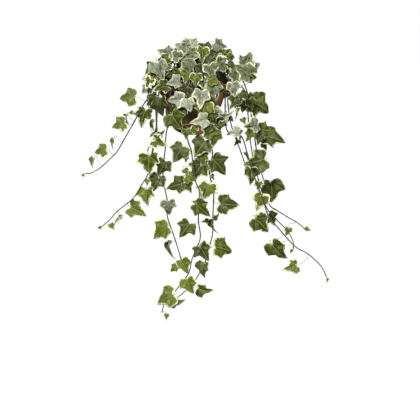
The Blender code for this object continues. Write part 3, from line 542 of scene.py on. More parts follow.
# Colours, some of them as a pair that a noise blends
CREAM = (0.69, 0.70, 0.47)
PALE_GREEN = (0.36, 0.41, 0.15)
SILVER = (0.095, 0.112, 0.072)
PALE_SILVER = (0.32, 0.34, 0.255)
DEEP_GREEN = (0.038, 0.050, 0.004)
FRESH_GREEN = (0.120, 0.150, 0.009)
VEIN_GREEN = (0.27, 0.30, 0.11)
UNDER_GREEN = (0.21, 0.245, 0.09)
# Painted shade: the near black that inner leaves are darkened towards, in place of the crown's shadow
INNER_PAINTED_SHADE = (0.008, 0.010, 0.002)
WOOD = ((0.045, 0.036, 0.020), (0.10, 0.08, 0.045))
FRESH_STALK = ((0.10, 0.11, 0.025), (0.16, 0.15, 0.05))
PETIOLE = ((0.26, 0.24, 0.12), (0.36, 0.28, 0.18))
POT_BROWN = ((0.190, 0.104, 0.040), (0.260, 0.148, 0.060))
DUST = (0.22, 0.14, 0.08)
SOIL_BROWN = ((0.010, 0.007, 0.005), (0.045, 0.030, 0.020))
FIBRE = (0.10, 0.075, 0.05)

# Patterns of the stalks, the pot and the soil, as above, and in metres
STALK_NOISE = (260.0, 3.0, 0.6)
WOODY_AGES = (0.05, 0.75)
STEM_AGES = (-0.4, -0.1)
CLOUD_NOISE = (22.0, 4.0, 0.6)
GRAIN_NOISE = (900.0, 2.0, 0.5)
DUST_EDGE = (0.5, 0.8)
DUST_SHARE = 0.25
CRUMB_NOISE = (160.0, 6.0, 0.7)
CLOD_NOISE = (45.0, 3.0, 0.6)
FIBRE_EDGE = (0.66, 0.74)

# Each surface: how much its noise adds to the roughness, the least roughness, the shine, and the strength
# and height of its bumps
SURFACES = {
    "ivy_upper": (0.15, 0.33, 0.22, 0.6, 0.6 * MM),
    "ivy_under": (0.15, 0.55, 0.22, 0.6, 0.6 * MM),
    "ivy_stalk": (0.2, 0.5, 0.15, 0.4, 0.4 * MM),
    "pot_plastic_fine": (0.25, 0.38, 0.25, 0.15, 0.2 * MM),
    "soil_fine": (0.1, 0.85, 0.5, 0.9, 2 * MM),
}

# Camera, surround and light
CAMERA_DISTANCE = 12.0
PHOTO_WIDTH = 0.84
PHOTO_CENTRE = (33, -253)
SENSOR = 36.0
FLOOR_HEIGHT = -8.0
STAGE_RADIUS = 20.0
STAGE_DETAIL = 3
STAGE_TONE = (0.06, 0.06, 0.06)
STAGE_ROUGHNESS = 0.9
STAGE_GLOW = 1.0
FILL_STRENGTH = 0.10
WHITE = (1, 1, 1, 1)
# Each light's name, place, target, width and power
LIGHTS = (
    ("key", (-0.7, -2.8, 3.0), (0.06, 0, -0.25), 0.5, 240),
    ("top", (0.2, -0.2, 2.2), (0.03, 0, -0.1), 0.6, 7),
    ("side", (1.7, -2.4, -0.4), (0.12, 0, -0.45), 1.0, 38),
    ("back", (0.7, 2.4, 1.5), (0.03, 0, -0.2), 0.8, 50),
    ("behind", (-1.0, 2.6, 0.2), (0, 0, -0.25), 1.0, 60),
)


# Growth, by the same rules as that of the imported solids


@dataclass
class Wish:
    """Where a leaf is wanted: the middle of its blade, the way its tip points and its face looks. One that
    is read from the front is placed before those that a rule spreads."""

    middle: Vector
    along: Vector
    face: Vector
    length: float
    turn: float = 0.0
    read: bool = False


@dataclass
class Leaf:
    """A leaf's petiole, from the stem's centre line, and its blade's own axes and form. A short petiole
    is straight and has no bend."""

    root: Vector
    bend: Vector | None
    base: Vector
    tip: Vector
    face: Vector
    length: float
    width: float
    fold: float
    droop: float


class Stem:
    """A stem's points, the plain line through them, the leaves wanted on it and the leaves it got."""

    def __init__(self, name, number, path):
        self.name = name
        self.number = number
        self.path = path
        self.line = [path[0], *thinned(smooth(path[1:], STEM_STEP))]
        self.wishes = []
        self.leaves = []


def new_object(name, data, collection=None):
    """A new object, in the scene's own collection where no other is named."""
    made = bpy.data.objects.new(name, data)
    (collection or bpy.context.scene.collection).objects.link(made)
    return made


def evaluated_mesh(thing):
    """The mesh of an object with its modifiers applied."""
    graph = bpy.context.evaluated_depsgraph_get()
    return bpy.data.meshes.new_from_object(thing.evaluated_get(graph))


def seen(across, up, depth):
    """The point seen this many millimetres across and up, at this depth."""
    height = (up - depth * math.sin(SEEN_FROM)) / math.cos(SEEN_FROM)
    return Vector((across, depth, height)) * MM


def on_ring(radius, angle, height):
    return Vector((radius * math.cos(angle), radius * math.sin(angle), height))


def curved(a, b, c, d, t):
    """The point this share of the way from b to c on a smooth curve through all four."""
    bent = (2 * a - 5 * b + 4 * c - d) * t * t + (3 * b - a - 3 * c + d) * t * t * t
    return 0.5 * (2 * b + (c - a) * t + bent)


def smooth(points, step):
    """Points about one step apart on a smooth curve through these."""
    ends = [2 * points[0] - points[1], *points, 2 * points[-1] - points[-2]]
    line = []
    for near in zip(ends, ends[1:], ends[2:], ends[3:]):
        count = max(1, round((near[2] - near[1]).length / step))
        line += [curved(*near, i / count) for i in range(count)]
    return [*line, points[-1]]


def thinned(line):
    """A line without the points where it hardly turns."""
    kept = [line[0]]
    for point, after in zip(line[1:], line[2:]):
        run = point - kept[-1]
        if run.angle(after - point) > LEAST_TURN or run.length > LONGEST_RUN:
            kept.append(point)
    return [*kept, line[-1]]


def divided(line, step):
    """A line's own points with more between them, at most about one step apart."""
    points = []
    for one, other in zip(line, line[1:]):
        count = max(1, round((other - one).length / step))
        points += [one.lerp(other, i / count) for i in range(count)]
    return [*points, line[-1]]


def stem_line(root, rest):
    """A stem that stands straight in its hole in the soil and then follows the rest of its points."""
    foot = [Vector((root[0] * MM, root[1] * MM, height)) for height in (STEM_FOOT, SOIL_CLEAR)]
    return [*foot, *rest]


def over_rim(first):
    """The two points where a trailing stem crosses over the rim, towards its first hanging point."""
    way = Vector((first.x, first.y, 0)).normalized()
    return [way * radius + UP * height for radius, height in (CREST_INNER, CREST_OUTER)]


def front_line(root, depths, route):
    count = len(route) - 1
    rest = [
        seen(across, up, depths[0] + (depths[1] - depths[0]) * i / count)
        for i, (across, up) in enumerate(route)
    ]
    return stem_line(root, over_rim(rest[0]) + rest)


def back_line(root, angle, drop, lean):
    """A stem that hangs behind the pot, waving a little and leaning out as it falls."""
    rest = []
    for share in BACK_SHARES:
        turn = math.radians(angle + BACK_WAVE * math.sin(BACK_WAVE_RATE * share + angle))
        radius = HANG_RADIUS + BACK_CLEAR + lean * MM * share * share
        rest.append(on_ring(radius, turn, -drop * MM * share))
    return stem_line(root, over_rim(rest[0]) + rest)


def on_dome(across, up):
    """The near side of the crown's dome where it is seen at this place, kept out from the pot's wall."""
    slope = math.tan(SEEN_FROM)
    wide, deep, tall = DOME
    level = up * MM / math.cos(SEEN_FROM)
    a = 1 / deep**2 + slope**2 / tall**2
    b = -2 * level * slope / tall**2
    c = (across * MM / wide) ** 2 + (level / tall) ** 2 - 1
    depth = (-b - math.sqrt(max(0.0, b * b - 4 * a * c))) / (2 * a)
    if level - depth * slope < 0:
        depth = min(depth, -math.sqrt(max(0.0, FRONT_RADIUS**2 - (across * MM) ** 2)))
    return seen(across, up, depth / MM)


def seen_wish(middle, outward, leaf):
    """A leaf read from the front: it faces the viewer and partly outwards."""
    _, _, length, way, turn = leaf
    angle = math.radians(way)
    along = SEEN_RIGHT * math.cos(angle) + SEEN_UP * math.sin(angle)
    face = TO_VIEWER + outward * FACE_OUTWARD + UP * FACE_UPWARD
    return Wish(middle, along, face.normalized(), length * HIDDEN_GROWTH * MM, math.radians(turn), True)


def in_the_open(point):
    """Whether this point of a stem is clear of the pot's mouth."""
    return point.z > 2 * POT_CLEAR or point.z < -POT_HEIGHT or point.xy.length > RIM_RADIUS


def nearest_seen(line, across, up):
    """The point of a stem's line, past the rim, that is seen nearest to this place."""
    place = SEEN_RIGHT * across * MM + SEEN_UP * up * MM
    hanging = [p for p in line if p.z < -POT_HEIGHT or p.xy.length > RIM_RADIUS]
    return min(hanging, key=lambda p: (p - TO_VIEWER * p.dot(TO_VIEWER) - place).length)


def trailing_wishes(line, leaves):
    fine = divided(line, ROOT_STEP)
    for leaf in leaves:
        near = nearest_seen(fine, leaf[0], leaf[1])
        outward = Vector((near.x, near.y, 0)).normalized()
        depth = near.y + outward.y * IN_FRONT
        yield seen_wish(seen(leaf[0], leaf[1], depth / MM), outward, leaf)


def crown_wishes(leaves):
    for leaf in leaves:
        middle = on_dome(leaf[0], leaf[1])
        yield seen_wish(middle, middle.normalized(), leaf)


def back_stem_wishes(line, draw):
    """Leaves to either side in turn, smaller towards the stem's end."""
    hanging = smooth([p for p in line if p.xy.length > RIM_RADIUS], BACK_LEAF_SPACING)[:-1]
    tip_down, tip_side, tip_out = BACK_TIP
    middle_side, middle_down = BACK_MIDDLE
    face_up, face_side = BACK_FACE
    largest, least = BACK_LEAVES
    for i, point in enumerate(hanging):
        outward = Vector((point.x, point.y, 0)).normalized()
        side = outward.cross(UP) * (1 if i % 2 else -1)
        share = i / len(hanging)
        length = largest + (least - largest) * share + draw.uniform(-LENGTH_STRAY, LENGTH_STRAY)
        along = -tip_down * UP + side * draw.uniform(*tip_side) + outward * tip_out
        middle = point + side * length * middle_side + outward * IN_FRONT - UP * length * middle_down
        face = outward + UP * face_up + side * face_side
        yield Wish(middle, along.normalized(), face.normalized(), length)
    last = line[-1]
    face = (last - line[-2]).cross(UP).cross(UP).normalized()
    yield Wish(last - UP * END_LEAF * END_DROP, -UP, face, END_LEAF)


def layer_wishes(spread, scale, lowest, least_back, lengths, draw):
    """Leaves over one layer of the dome, spread by the golden angle and overlapping downwards."""
    golden = math.pi * (3 - math.sqrt(5))
    for i in range(spread):
        angle = i * golden
        height = 1 - (1 - lowest) * (i + 0.5) / spread
        ring = math.sqrt(1 - height * height)
        out = on_ring(ring, angle, height)
        if out.y < least_back:
            continue
        tall = DOME.z * (1 - BACK_FALL * max(0.0, out.y))
        middle = Vector((out.x * DOME.x, out.y * DOME.y, out.z * tall)) * scale * draw.uniform(*LAYER_STRAY)
        if middle.z < 0:
            middle.xy = middle.xy.normalized() * max(middle.xy.length, HANG_RADIUS)
        side = out.cross(UP).normalized() * draw.uniform(-LAYER_SIDE, LAYER_SIDE)
        along = side - UP + out * LAYER_OUT
        face = (out + UP * LAYER_FACE_UP).normalized()
        yield Wish(middle, along.normalized(), face, draw.uniform(*lengths) * MM)


def blade_point(leaf, across, along):
    """A point of the blade, given in units of its length."""
    side = leaf.tip.cross(leaf.face)
    lift = leaf.fold * abs(across) - leaf.droop * along * along
    place = side * (across * leaf.width) + leaf.tip * along + leaf.face * lift
    return leaf.base + place * leaf.length


def petiole_stations(leaf):
    """The petiole's middle points below the base, each with the way that it runs there."""
    if leaf.bend is None:
        return [(leaf.root, (leaf.base - leaf.root).normalized())]
    upper = (leaf.base - leaf.bend).normalized()
    lower = (leaf.bend - leaf.root).normalized()
    return [(leaf.bend, (upper + lower).normalized()), (leaf.root, lower)]


def level_with(half, way, face):
    """The half width of a strip that runs this way, turned as little as may be from the one before."""
    level = half - way * half.dot(way)
    if level.length < LEAST_LEVEL * half.length:
        level = face.cross(way)
    return level.normalized() * half.length


def outline_of(leaf):
    """One side of the blade's outline, from the petiole to just before the tip."""
    if leaf.length < SMALL_LEAF:
        return SMALL_OUTLINE
    return LARGE_OUTLINE if leaf.length >= LARGE_LEAF else MIDDLE_OUTLINE


def leaf_plate(leaf, thickness, margin, with_petiole):
    """The leaf as a closed plate of this thickness, its outline grown by the margin."""
    plate = bmesh.new()
    grown = [(across * margin, along * margin) for across, along in outline_of(leaf)]
    right = [plate.verts.new(blade_point(leaf, across, along)) for across, along in grown]
    left = [plate.verts.new(blade_point(leaf, -across, along)) for across, along in grown]
    tip = plate.verts.new(blade_point(leaf, 0, margin))
    side = leaf.tip.cross(leaf.face) * (PETIOLE_WIDTH / 2)
    base = [plate.verts.new(leaf.base - side), plate.verts.new(leaf.base + side)]
    if leaf.length < LARGE_LEAF:
        fans = [(base[0], [tip, *reversed(left)]), (base[1], [*right, tip]), (tip, base)]
    else:
        middle = plate.verts.new(blade_point(leaf, *MIDRIB_POINT))
        fans = [(middle, [*base, *right, tip, *reversed(left), base[0]])]
    for corner, edge in fans:
        for one, other in zip(edge, edge[1:]):
            plate.faces.new((corner, one, other))
    last, half = base, side
    for station, way in petiole_stations(leaf) if with_petiole else []:
        half = level_with(half, way, leaf.face)
        pair = [plate.verts.new(station - half), plate.verts.new(station + half)]
        plate.faces.new((pair[0], pair[1], last[1]))
        plate.faces.new((pair[0], last[1], last[0]))
        last = pair
    plate.normal_update()
    bmesh.ops.solidify(plate, geom=plate.faces[:], thickness=thickness)
    bmesh.ops.recalc_face_normals(plate, faces=plate.faces[:])
    return plate


def crosses_itself(plate):
    tree = BVHTree.FromBMesh(plate)
    return bool(tree.overlap(tree))


class Space:
    """What is already in place, to keep each new leaf clear of it."""

    def __init__(self):
        self.things = []

    def add(self, owner, kind, shape):
        low, high = bounds(shape)
        self.things.append((owner, kind, BVHTree.FromBMesh(shape), low, high))

    def meets(self, shape, skip):
        low, high = bounds(shape)
        tree = BVHTree.FromBMesh(shape)
        for owner, kind, other, other_low, other_high in self.things:
            if (owner, kind) in skip:
                continue
            apart = any(low[i] > other_high[i] or high[i] < other_low[i] for i in range(3))
            if not apart and tree.overlap(other):
                return True
        return False


def bounds(shape):
    """The lowest and highest corners of a bmesh."""
    places = [vertex.co for vertex in shape.verts]
    low = [min(place[i] for place in places) for i in range(3)]
    high = [max(place[i] for place in places) for i in range(3)]
    return low, high


def pot_guards():
    """Plain closed shapes round the pot's band and its tapered wall, for leaves to keep clear of."""
    for low, high, low_radius, high_radius in (
        (-BAND_HEIGHT, 0, RIM_RADIUS, RIM_RADIUS),
        (-POT_HEIGHT, -BAND_HEIGHT, FOOT_RADIUS, RIM_RADIUS - BAND_STEP),
    ):
        guard = bmesh.new()
        bmesh.ops.create_cone(
            guard,
            cap_ends=True,
            segments=TURN_STEPS,
            radius1=low_radius + POT_CLEAR,
            radius2=high_radius + POT_CLEAR,
            depth=high - low + 2 * POT_CLEAR,
        )
        bmesh.ops.translate(guard, verts=guard.verts[:], vec=(0, 0, (low + high) / 2))
        yield guard


def stem_guard(stem):
    """A closed tube a little thicker than the stem, for leaves to keep clear of."""
    curve = bpy.data.curves.new(stem.name + "_line", "CURVE")
    curve.dimensions = "3D"
    curve.bevel_depth = STEM_RADIUS + TEST_TUBE
    curve.bevel_resolution = 0
    curve.use_fill_caps = True
    track = curve.splines.new("POLY")
    track.points.add(len(stem.line) - 1)
    for i, (point, place) in enumerate(zip(track.points, stem.line)):
        share = i / (len(stem.line) - 1)
        point.co = (*place, 1)
        point.radius = 1 - share * (1 - STEM_TIP_RADIUS / STEM_RADIUS)
    guide = new_object(stem.name + "_guide", curve)
    tube = bmesh.new()
    tube.from_mesh(evaluated_mesh(guide))
    bpy.data.objects.remove(guide)
    bmesh.ops.remove_doubles(tube, verts=tube.verts[:], dist=JOIN_DISTANCE)
    return tube


def root_of(line, base, taken):
    """Where a petiole leaves the stem for this base: near it, rather before it than after it, and apart
    from the roots already taken."""
    best, least = None, math.inf
    for before, point, after in zip(line, line[1:], line[2:]):
        if not in_the_open(point) or any((point - root).length < ROOT_APART for root in taken):
            continue
        growth = (after - before).normalized()
        cost = (point - base).length + PAST_COST * max(0.0, (point - base).dot(growth))
        if cost < least:
            best, least = point, cost
    return best


def stray(draw, amounts, spread):
    """A random vector whose size grows with spread from the first amount by the second."""
    return Vector([draw.uniform(-1, 1) for _ in range(3)]) * (amounts[0] + amounts[1] * spread)


def try_leaf(line, wish, draw, spread, taken):
    """A leaf close to the one wanted, further from it as spread goes from 0 to 1, or None."""
    length = wish.length * (1 - SHRINK * spread)
    face = (wish.face + stray(draw, FACE_STRAY, spread)).normalized()
    along = wish.along + stray(draw, TIP_STRAY, spread)
    tip = (along - face * along.dot(face)).normalized()
    side = tip.cross(face)
    turn = wish.turn + draw.uniform(-TURN_STRAY, TURN_STRAY)
    face = face * math.cos(turn) + side * math.sin(turn)
    shift = TO_VIEWER * draw.uniform(*DEPTH_WAYS) * (DEPTH_STRAY[0] + DEPTH_STRAY[1] * spread)
    drift = stray(draw, (0.0, PLACE_STRAY), spread)
    base = wish.middle + shift + drift - tip * length * CENTRE_OF_BLADE
    root = root_of(line, base, taken)
    if root is None or not SHORTEST_PETIOLE < (base - root).length < LONGEST_PETIOLE:
        return None
    reach = base - root
    ahead = reach.dot(tip) / reach.length
    if ahead < UNDER_BLADE and reach.dot(face) < UNDER_DROP:
        return None
    bend = None
    if ahead < SIDEWAYS:
        lead = min(LEAD_SHARE * reach.length, LONGEST_LEAD)
        drop = UNDER_DROP if ahead < UNDER_BLADE else 0.0
        bend = base - tip * lead - face * drop * UNDER_PART
    elif reach.length > STRAIGHT_PETIOLE:
        bend = (root + base) / 2 + (face * ARCH_OUT + UP * ARCH_UP) * reach.length
    return Leaf(
        root=root,
        bend=bend,
        base=base,
        tip=tip,
        face=face,
        length=length,
        width=draw.uniform(*LEAF_WIDTHS),
        fold=draw.uniform(*LEAF_FOLDS),
        droop=draw.uniform(*LEAF_DROOPS),
    )


def place_leaf(stem, line, wish, number, space):
    """Tries forms of the leaf until one is clear of everything in place, and keeps it."""
    draw = random.Random(SEED_STEP * stem.number + number)
    for attempt in range(ATTEMPTS):
        taken = [leaf.root for leaf in stem.leaves]
        leaf = try_leaf(line, wish, draw, attempt / ATTEMPTS, taken)
        if leaf is None:
            continue
        thick = leaf_plate(leaf, TEST_THICKNESS, TEST_MARGIN, True)
        blade = leaf_plate(leaf, TEST_THICKNESS, TEST_MARGIN, False)
        real = leaf_plate(leaf, BLADE_THICKNESS, 1.0, True)
        own_stem = (stem.name, "stem")
        own_leaves = (stem.name, "leaf")
        clear = not (
            crosses_itself(real)
            or space.meets(thick, {own_stem, own_leaves})
            or space.meets(blade, set())
            or space.meets(real, {own_stem})
        )
        if clear:
            space.add(*own_leaves, real)
            stem.leaves.append(leaf)
        for plate in (thick, blade, real):
            plate.free()
        if clear:
            return


def grow_stems():
    """Every stem's line and the leaves wanted on it."""
    stems = []
    for name, (root, depths, route, leaves) in FRONT_STEMS.items():
        stem = Stem(name, len(stems), front_line(root, depths, route))
        stem.wishes = list(trailing_wishes(stem.line, leaves))
        stems.append(stem)
    for name, (root, points, leaves) in FRONT_SHOOTS.items():
        stem = Stem(name, len(stems), stem_line(root, [Vector(point) * MM for point in points]))
        stem.wishes = list(crown_wishes(leaves))
        stems.append(stem)
    for name, (root, points) in BACK_SHOOTS.items():
        stems.append(Stem(name, len(stems), stem_line(root, [Vector(point) * MM for point in points])))
    shoots = stems[len(FRONT_STEMS):]
    for number, layer in enumerate(CROWN_LAYERS):
        for wish in layer_wishes(*layer, random.Random(number)):
            nearest = min(shoots, key=lambda stem: (stem.line[-1] - wish.middle).length)
            nearest.wishes.append(wish)
    for name, (root, angle, drop, lean) in BACK_STEMS.items():
        stem = Stem(name, len(stems), back_line(root, angle, drop, lean))
        stem.wishes = list(back_stem_wishes(stem.line, random.Random(len(stems))))
        stems.append(stem)
    return stems


def grow_leaves(stems):
    """Places the leaves of all stems, each clear of what is there already: those read from the front before
    the rest, and the larger ones first."""
    space = Space()
    for guard in pot_guards():
        space.add("pot", "guard", guard)
        guard.free()
    for stem in stems:
        tube = stem_guard(stem)
        space.add(stem.name, "stem", tube)
        tube.free()
    wanted = [(stem, number, wish) for stem in stems for number, wish in enumerate(stem.wishes)]
    wanted.sort(key=lambda one: (not one[2].read, -one[2].length))
    fine = {stem.name: divided(stem.line[1:], ROOT_STEP) for stem in stems}
    for stem, number, wish in wanted:
        place_leaf(stem, fine[stem.name], wish, number, space)


# Fine blades


def smoothstep(low, high, value):
    share = np.clip((value - low) / (high - low), 0, 1)
    return share * share * (3 - 2 * share)


def spline(points, samples):
    """A smooth run through points given as rows, with this many samples for each stretch."""
    points = np.array(points, float)
    ends = np.vstack([2 * points[0] - points[1], points, 2 * points[-1] - points[-2]])
    t = (np.arange(samples) / samples)[:, None]
    runs = [curved(*near, t) for near in zip(ends, ends[1:], ends[2:], ends[3:])]
    return np.vstack([*runs, points[-1:]])


def in_view(point):
    """Whether a point of the plant is on the side that the front view shows."""
    return point.y < VIEW_DEPTH + max(point.z, 0) * math.tan(SEEN_FROM)


def leaf_kind(leaf, trailing, draw):
    """Which of the plant's looks this leaf has: read where the front shows it, drawn elsewhere."""
    middle = leaf.base + leaf.tip * leaf.length * CENTRE_OF_BLADE
    place = Vector((middle.x, middle.dot(SEEN_UP)))
    if in_view(middle):
        for kind, places in KIND_PLACES.items():
            if min((place - Vector(spot) * MM).length for spot in places) < NEAR_PLACE:
                return kind
    if leaf.length < SMALL_LEAF:
        return "bright"
    if trailing or middle.z < INNER_FOOT:
        return "green"
    # Leaves deep in the crown are the inner kind, whose colour is darkened with painted shade
    if Vector((middle.x / DOME.x, middle.y / DOME.y, middle.z / DOME.z)).length < INNER_SHARE:
        return "inner"
    return "green" if in_view(middle) else draw.choice(BACK_KINDS)


def half_outline(leaf, kind, draw):
    """One side of the blade's outline, a mix of the plant's leaf forms."""
    broad, lobed, young = (np.array(form) for form in (BROAD_LEAF, LOBED_LEAF, YOUNG_LEAF))
    youth = 1 - smoothstep(*YOUNG_LENGTHS, leaf.length)
    lobing = draw.uniform(*(GREEN_LOBING if kind == "green" else LOBING))
    form = (broad * (1 - lobing) + lobed * lobing) * (1 - youth) + young * youth
    form[1:-1] += [[draw.uniform(-OUTLINE_STRAY, OUTLINE_STRAY) for _ in range(2)] for _ in form[1:-1]]
    return form


def blade_points(leaf, kind, draw):
    """The blade's points as (across, along) in leaf lengths, ring by ring from the margin to its centre,
    with each point's share of the way out to the margin and the number of points in a ring."""
    large = leaf.length > SMALL_LEAF
    samples = OUTLINE_SAMPLES if large else SMALL_OUTLINE_SAMPLES
    right = spline(half_outline(leaf, kind, draw), samples)
    left = spline(half_outline(leaf, kind, draw), samples)[1:-1][::-1] * (-1, 1)
    margin = np.vstack([right, left])
    centre = np.array(RING_CENTRE)
    shares = LEAF_RINGS if large else SMALL_LEAF_RINGS
    rings = [centre + (margin - centre) * share for share in shares]
    share = np.repeat([*shares, 0.0], [len(margin)] * len(shares) + [1])
    return np.vstack([*rings, centre[None]]), share, len(margin)


def margin_distance(points, margin):
    """How far each point is from the blade's margin."""
    runs = np.roll(margin, -1, axis=0) - margin
    away = points[:, None, :] - margin[None]
    share = np.clip((away * runs).sum(2) / (runs**2).sum(1), 0, 1)
    return np.linalg.norm(away - runs * share[:, :, None], axis=2).min(axis=1)


def vein_distance(across, along):
    """How far each point is from the nearest of the main veins, in leaf lengths."""
    far = near = np.abs(across)
    for angle in VEIN_ANGLES:
        run = far * math.sin(angle) + along * math.cos(angle)
        off = np.abs(far * math.cos(angle) - along * math.sin(angle))
        near = np.minimum(near, off + np.maximum(-BEHIND_COST * run, 0))
    return near


def blade_lift(leaf, points, share, draw):
    """How far the blade stands off its flat plane by its fold, wavy margin, droop, roll and quilting."""
    across, along = points[:, 0], points[:, 1]
    fold = FOLD_GAIN * leaf.fold * (np.sqrt(across**2 + MIDRIB_ROUNDING**2) - MIDRIB_ROUNDING)
    angle = np.arctan2(across, along - RING_CENTRE[1])
    wave = draw.uniform(*EDGE_WAVE) * np.sin(draw.choice(EDGE_WAVES) * angle + draw.uniform(*WAVE_STARTS))
    droop = DROOP_GAIN * leaf.droop * along**2 + LOBE_DROOP * share**4
    roll = across * (draw.uniform(-ROLL, ROLL) + draw.uniform(-TWIST, TWIST) * along)
    quilt = QUILT * np.minimum(vein_distance(across, along), QUILT_WIDTH)
    return fold - droop + roll + quilt + wave * share**3


class Shape:
    """Gathers points, faces and their attributes for one mesh."""

    def __init__(self):
        self.points, self.faces, self.slots = [], [], []
        self.spots, self.edges, self.tones = [], [], []

    def add(self, points, faces, slot, spots, edges, tone):
        first = len(self.points)
        self.points += [tuple(point) for point in points]
        self.faces += [tuple(first + corner for corner in face) for face in faces]
        self.slots += [slot] * len(faces)
        self.spots += [tuple(spot) for spot in spots]
        self.edges += list(edges)
        self.tones += [tone] * len(points)

    def object(self, name, materials):
        mesh = bpy.data.meshes.new(name)
        mesh.from_pydata(self.points, [], self.faces)
        mesh.polygons.foreach_set("material_index", self.slots)
        mesh.polygons.foreach_set("use_smooth", [True] * len(self.faces))
        corners = np.empty(len(mesh.loops), int)
        mesh.loops.foreach_get("vertex_index", corners)
        layer = mesh.uv_layers.new(name="leaf")
        layer.data.foreach_set("uv", np.array(self.spots, float)[corners].ravel())
        edge = mesh.attributes.new("edge", "FLOAT", "POINT")
        edge.data.foreach_set("value", self.edges)
        tone = mesh.attributes.new("tone", "FLOAT_COLOR", "POINT")
        tone.data.foreach_set("color", np.array(self.tones, float).ravel())
        for material in materials:
            mesh.materials.append(material)
        return new_object(name, mesh)


def ring_faces(rings, count):
    """The faces between rings of this many points."""
    faces = []
    for first in range(0, (rings - 1) * count, count):
        for i in range(count):
            a, b = first + i, first + (i + 1) % count
            faces.append((a, b, b + count, a + count))
    return faces


def add_blade(shape, leaf, kind, youth, draw):
    """The blade as a thin closed shell, its upper side and its under side in slots 0 and 1. Youth is 0 for
    the oldest leaves and 1 at the end of a stem."""
    flat, share, count = blade_points(leaf, kind, draw)
    lift = blade_lift(leaf, flat, share, draw)
    side = leaf.tip.cross(leaf.face)
    axes = np.array([side * leaf.width, leaf.tip, leaf.face]) * leaf.length
    upper = np.array(leaf.base) + np.column_stack([flat, lift]) @ axes
    lower = upper - np.array(leaf.face) * FINE_THICKNESS
    middle = len(flat) - 1
    last = middle - count
    faces = ring_faces(middle // count, count)
    faces += [(last + i, last + (i + 1) % count, middle) for i in range(count)]
    edges = margin_distance(flat, flat[:count])
    cream, silver, light = (draw.uniform(*span) for span in KINDS[kind])
    tone = (cream, silver, light + YOUNG_LIGHT * youth, draw.random())
    shape.add(upper, faces, 0, flat, edges, tone)
    shape.add(lower, [face[::-1] for face in faces], 1, flat, edges, tone)
    top, bottom = len(shape.points) - 2 * len(flat), len(shape.points) - len(flat)
    for i in range(count):
        j = (i + 1) % count
        shape.faces.append((top + j, top + i, bottom + i, bottom + j))
        shape.slots.append(0)


# Fine stalks


def fine_points(points, step):
    """A smooth line through these points, about one step apart, as rows."""
    return np.array([tuple(point) for point in smooth([Vector(point) for point in points], step)])


def add_tube(shape, line, radii, ages, sides):
    """A closed round tube along a line."""
    way = np.gradient(line, axis=0)
    way /= np.linalg.norm(way, axis=1)[:, None]
    half = np.cross(way[0], ASKEW)
    turn = np.arange(sides) * 2 * math.pi / sides
    points, spots = [], []
    for place, along, radius, age in zip(line, way, radii, ages):
        half = half - along * half.dot(along)
        half /= np.linalg.norm(half)
        other = np.cross(along, half)
        points.append(place + radius * (np.outer(np.cos(turn), half) + np.outer(np.sin(turn), other)))
        spots += [(k / sides, age) for k in range(sides)]
    faces = ring_faces(len(line), sides)
    faces.append(tuple(reversed(range(sides))))
    faces.append(tuple((len(line) - 1) * sides + k for k in range(sides)))
    shape.add(np.vstack(points), faces, 0, spots, np.repeat(ages, sides), (0, 0, 0, 0))


def stalk_radii(line, stem):
    """The stem's radius along its line: tapering, and a little swollen where a petiole leaves it."""
    share = np.linspace(0, 1, len(line))
    radii = FINE_STEM_RADIUS + (FINE_STEM_TIP_RADIUS - FINE_STEM_RADIUS) * share
    for leaf in stem.leaves:
        away = np.linalg.norm(line - np.array(leaf.root), axis=1)
        radii += NODE_SWELLING * np.exp(-((away / NODE_REACH) ** 2)) * (1 - SWELLING_FALL * share)
    return radii


def nearest_index(line, point):
    return np.linalg.norm(line - np.array(point), axis=1).argmin()


def petiole_line(leaf, stem_points):
    """The petiole from the nearest point of the stem to just inside the blade."""
    nearest = nearest_index(stem_points, leaf.root)
    start = Vector(stem_points[nearest])
    before, after = stem_points[max(0, nearest - 1)], stem_points[min(nearest + 1, len(stem_points) - 1)]
    growth = Vector(after - before).normalized()
    reach = (leaf.base if leaf.bend is None else leaf.bend) - start
    points = [start]
    for share, lead in PETIOLE_POINTS:
        points.append(start + reach * share + growth * reach.length * lead)
    if leaf.bend is not None:
        points.append(leaf.bend)
    inside = leaf.tip * leaf.length * PETIOLE_INSIDE
    points += [place - leaf.face * FINE_THICKNESS for place in (leaf.base, leaf.base + inside)]
    return fine_points(points, PETIOLE_STEP)


def dress_stem(stem, materials):
    """A leafy stem's blades as one piece and its stalks as another, in place of its node."""
    trailing = stem.name.startswith("stem")
    draw = random.Random(stem.number)
    kinds = random.Random(KIND_SEED + stem.number)
    blades, stalks = Shape(), Shape()
    line = fine_points(stem.path, STALK_STEP)
    share = np.linspace(0, 1, len(line))
    ages = 1 - smoothstep(*YOUNG_END, share) if trailing else SHOOT_AGE - SHOOT_AGE_FALL * share
    add_tube(stalks, line, stalk_radii(line, stem), ages, STALK_SIDES)
    for leaf in stem.leaves:
        youth = share[nearest_index(line, leaf.root)] if trailing else 0.0
        add_blade(blades, leaf, leaf_kind(leaf, trailing, kinds), youth, draw)
        stalk = petiole_line(leaf, line)
        full = THIN_PETIOLE + (1 - THIN_PETIOLE) * min(1.0, leaf.length / FULL_LEAF)
        radii, stalk_ages = (np.full(len(stalk), value) for value in (PETIOLE_RADIUS * full, PETIOLE_AGE))
        add_tube(stalks, stalk, radii, stalk_ages, PETIOLE_SIDES)
    pieces = [
        blades.object(stem.name + "_blades", [materials["upper"], materials["under"]]),
        stalks.object(stem.name + "_stalks", [materials["stalk"]]),
    ]
    for piece in pieces:
        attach(piece, "root")
        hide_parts(stem.name)


# Materials


class Field:
    """A value that a material works out. Arithmetic on it adds nodes."""

    def __init__(self, nodes, socket):
        self.nodes = nodes
        self.socket = socket

    def __add__(self, other):
        return self.nodes.math("ADD", self, other)

    def __sub__(self, other):
        return self.nodes.math("SUBTRACT", self, other)

    def __mul__(self, other):
        return self.nodes.math("MULTIPLY", self, other)

    def __truediv__(self, other):
        return self.nodes.math("DIVIDE", self, other)

    def __abs__(self):
        return self.nodes.math("ABSOLUTE", self)


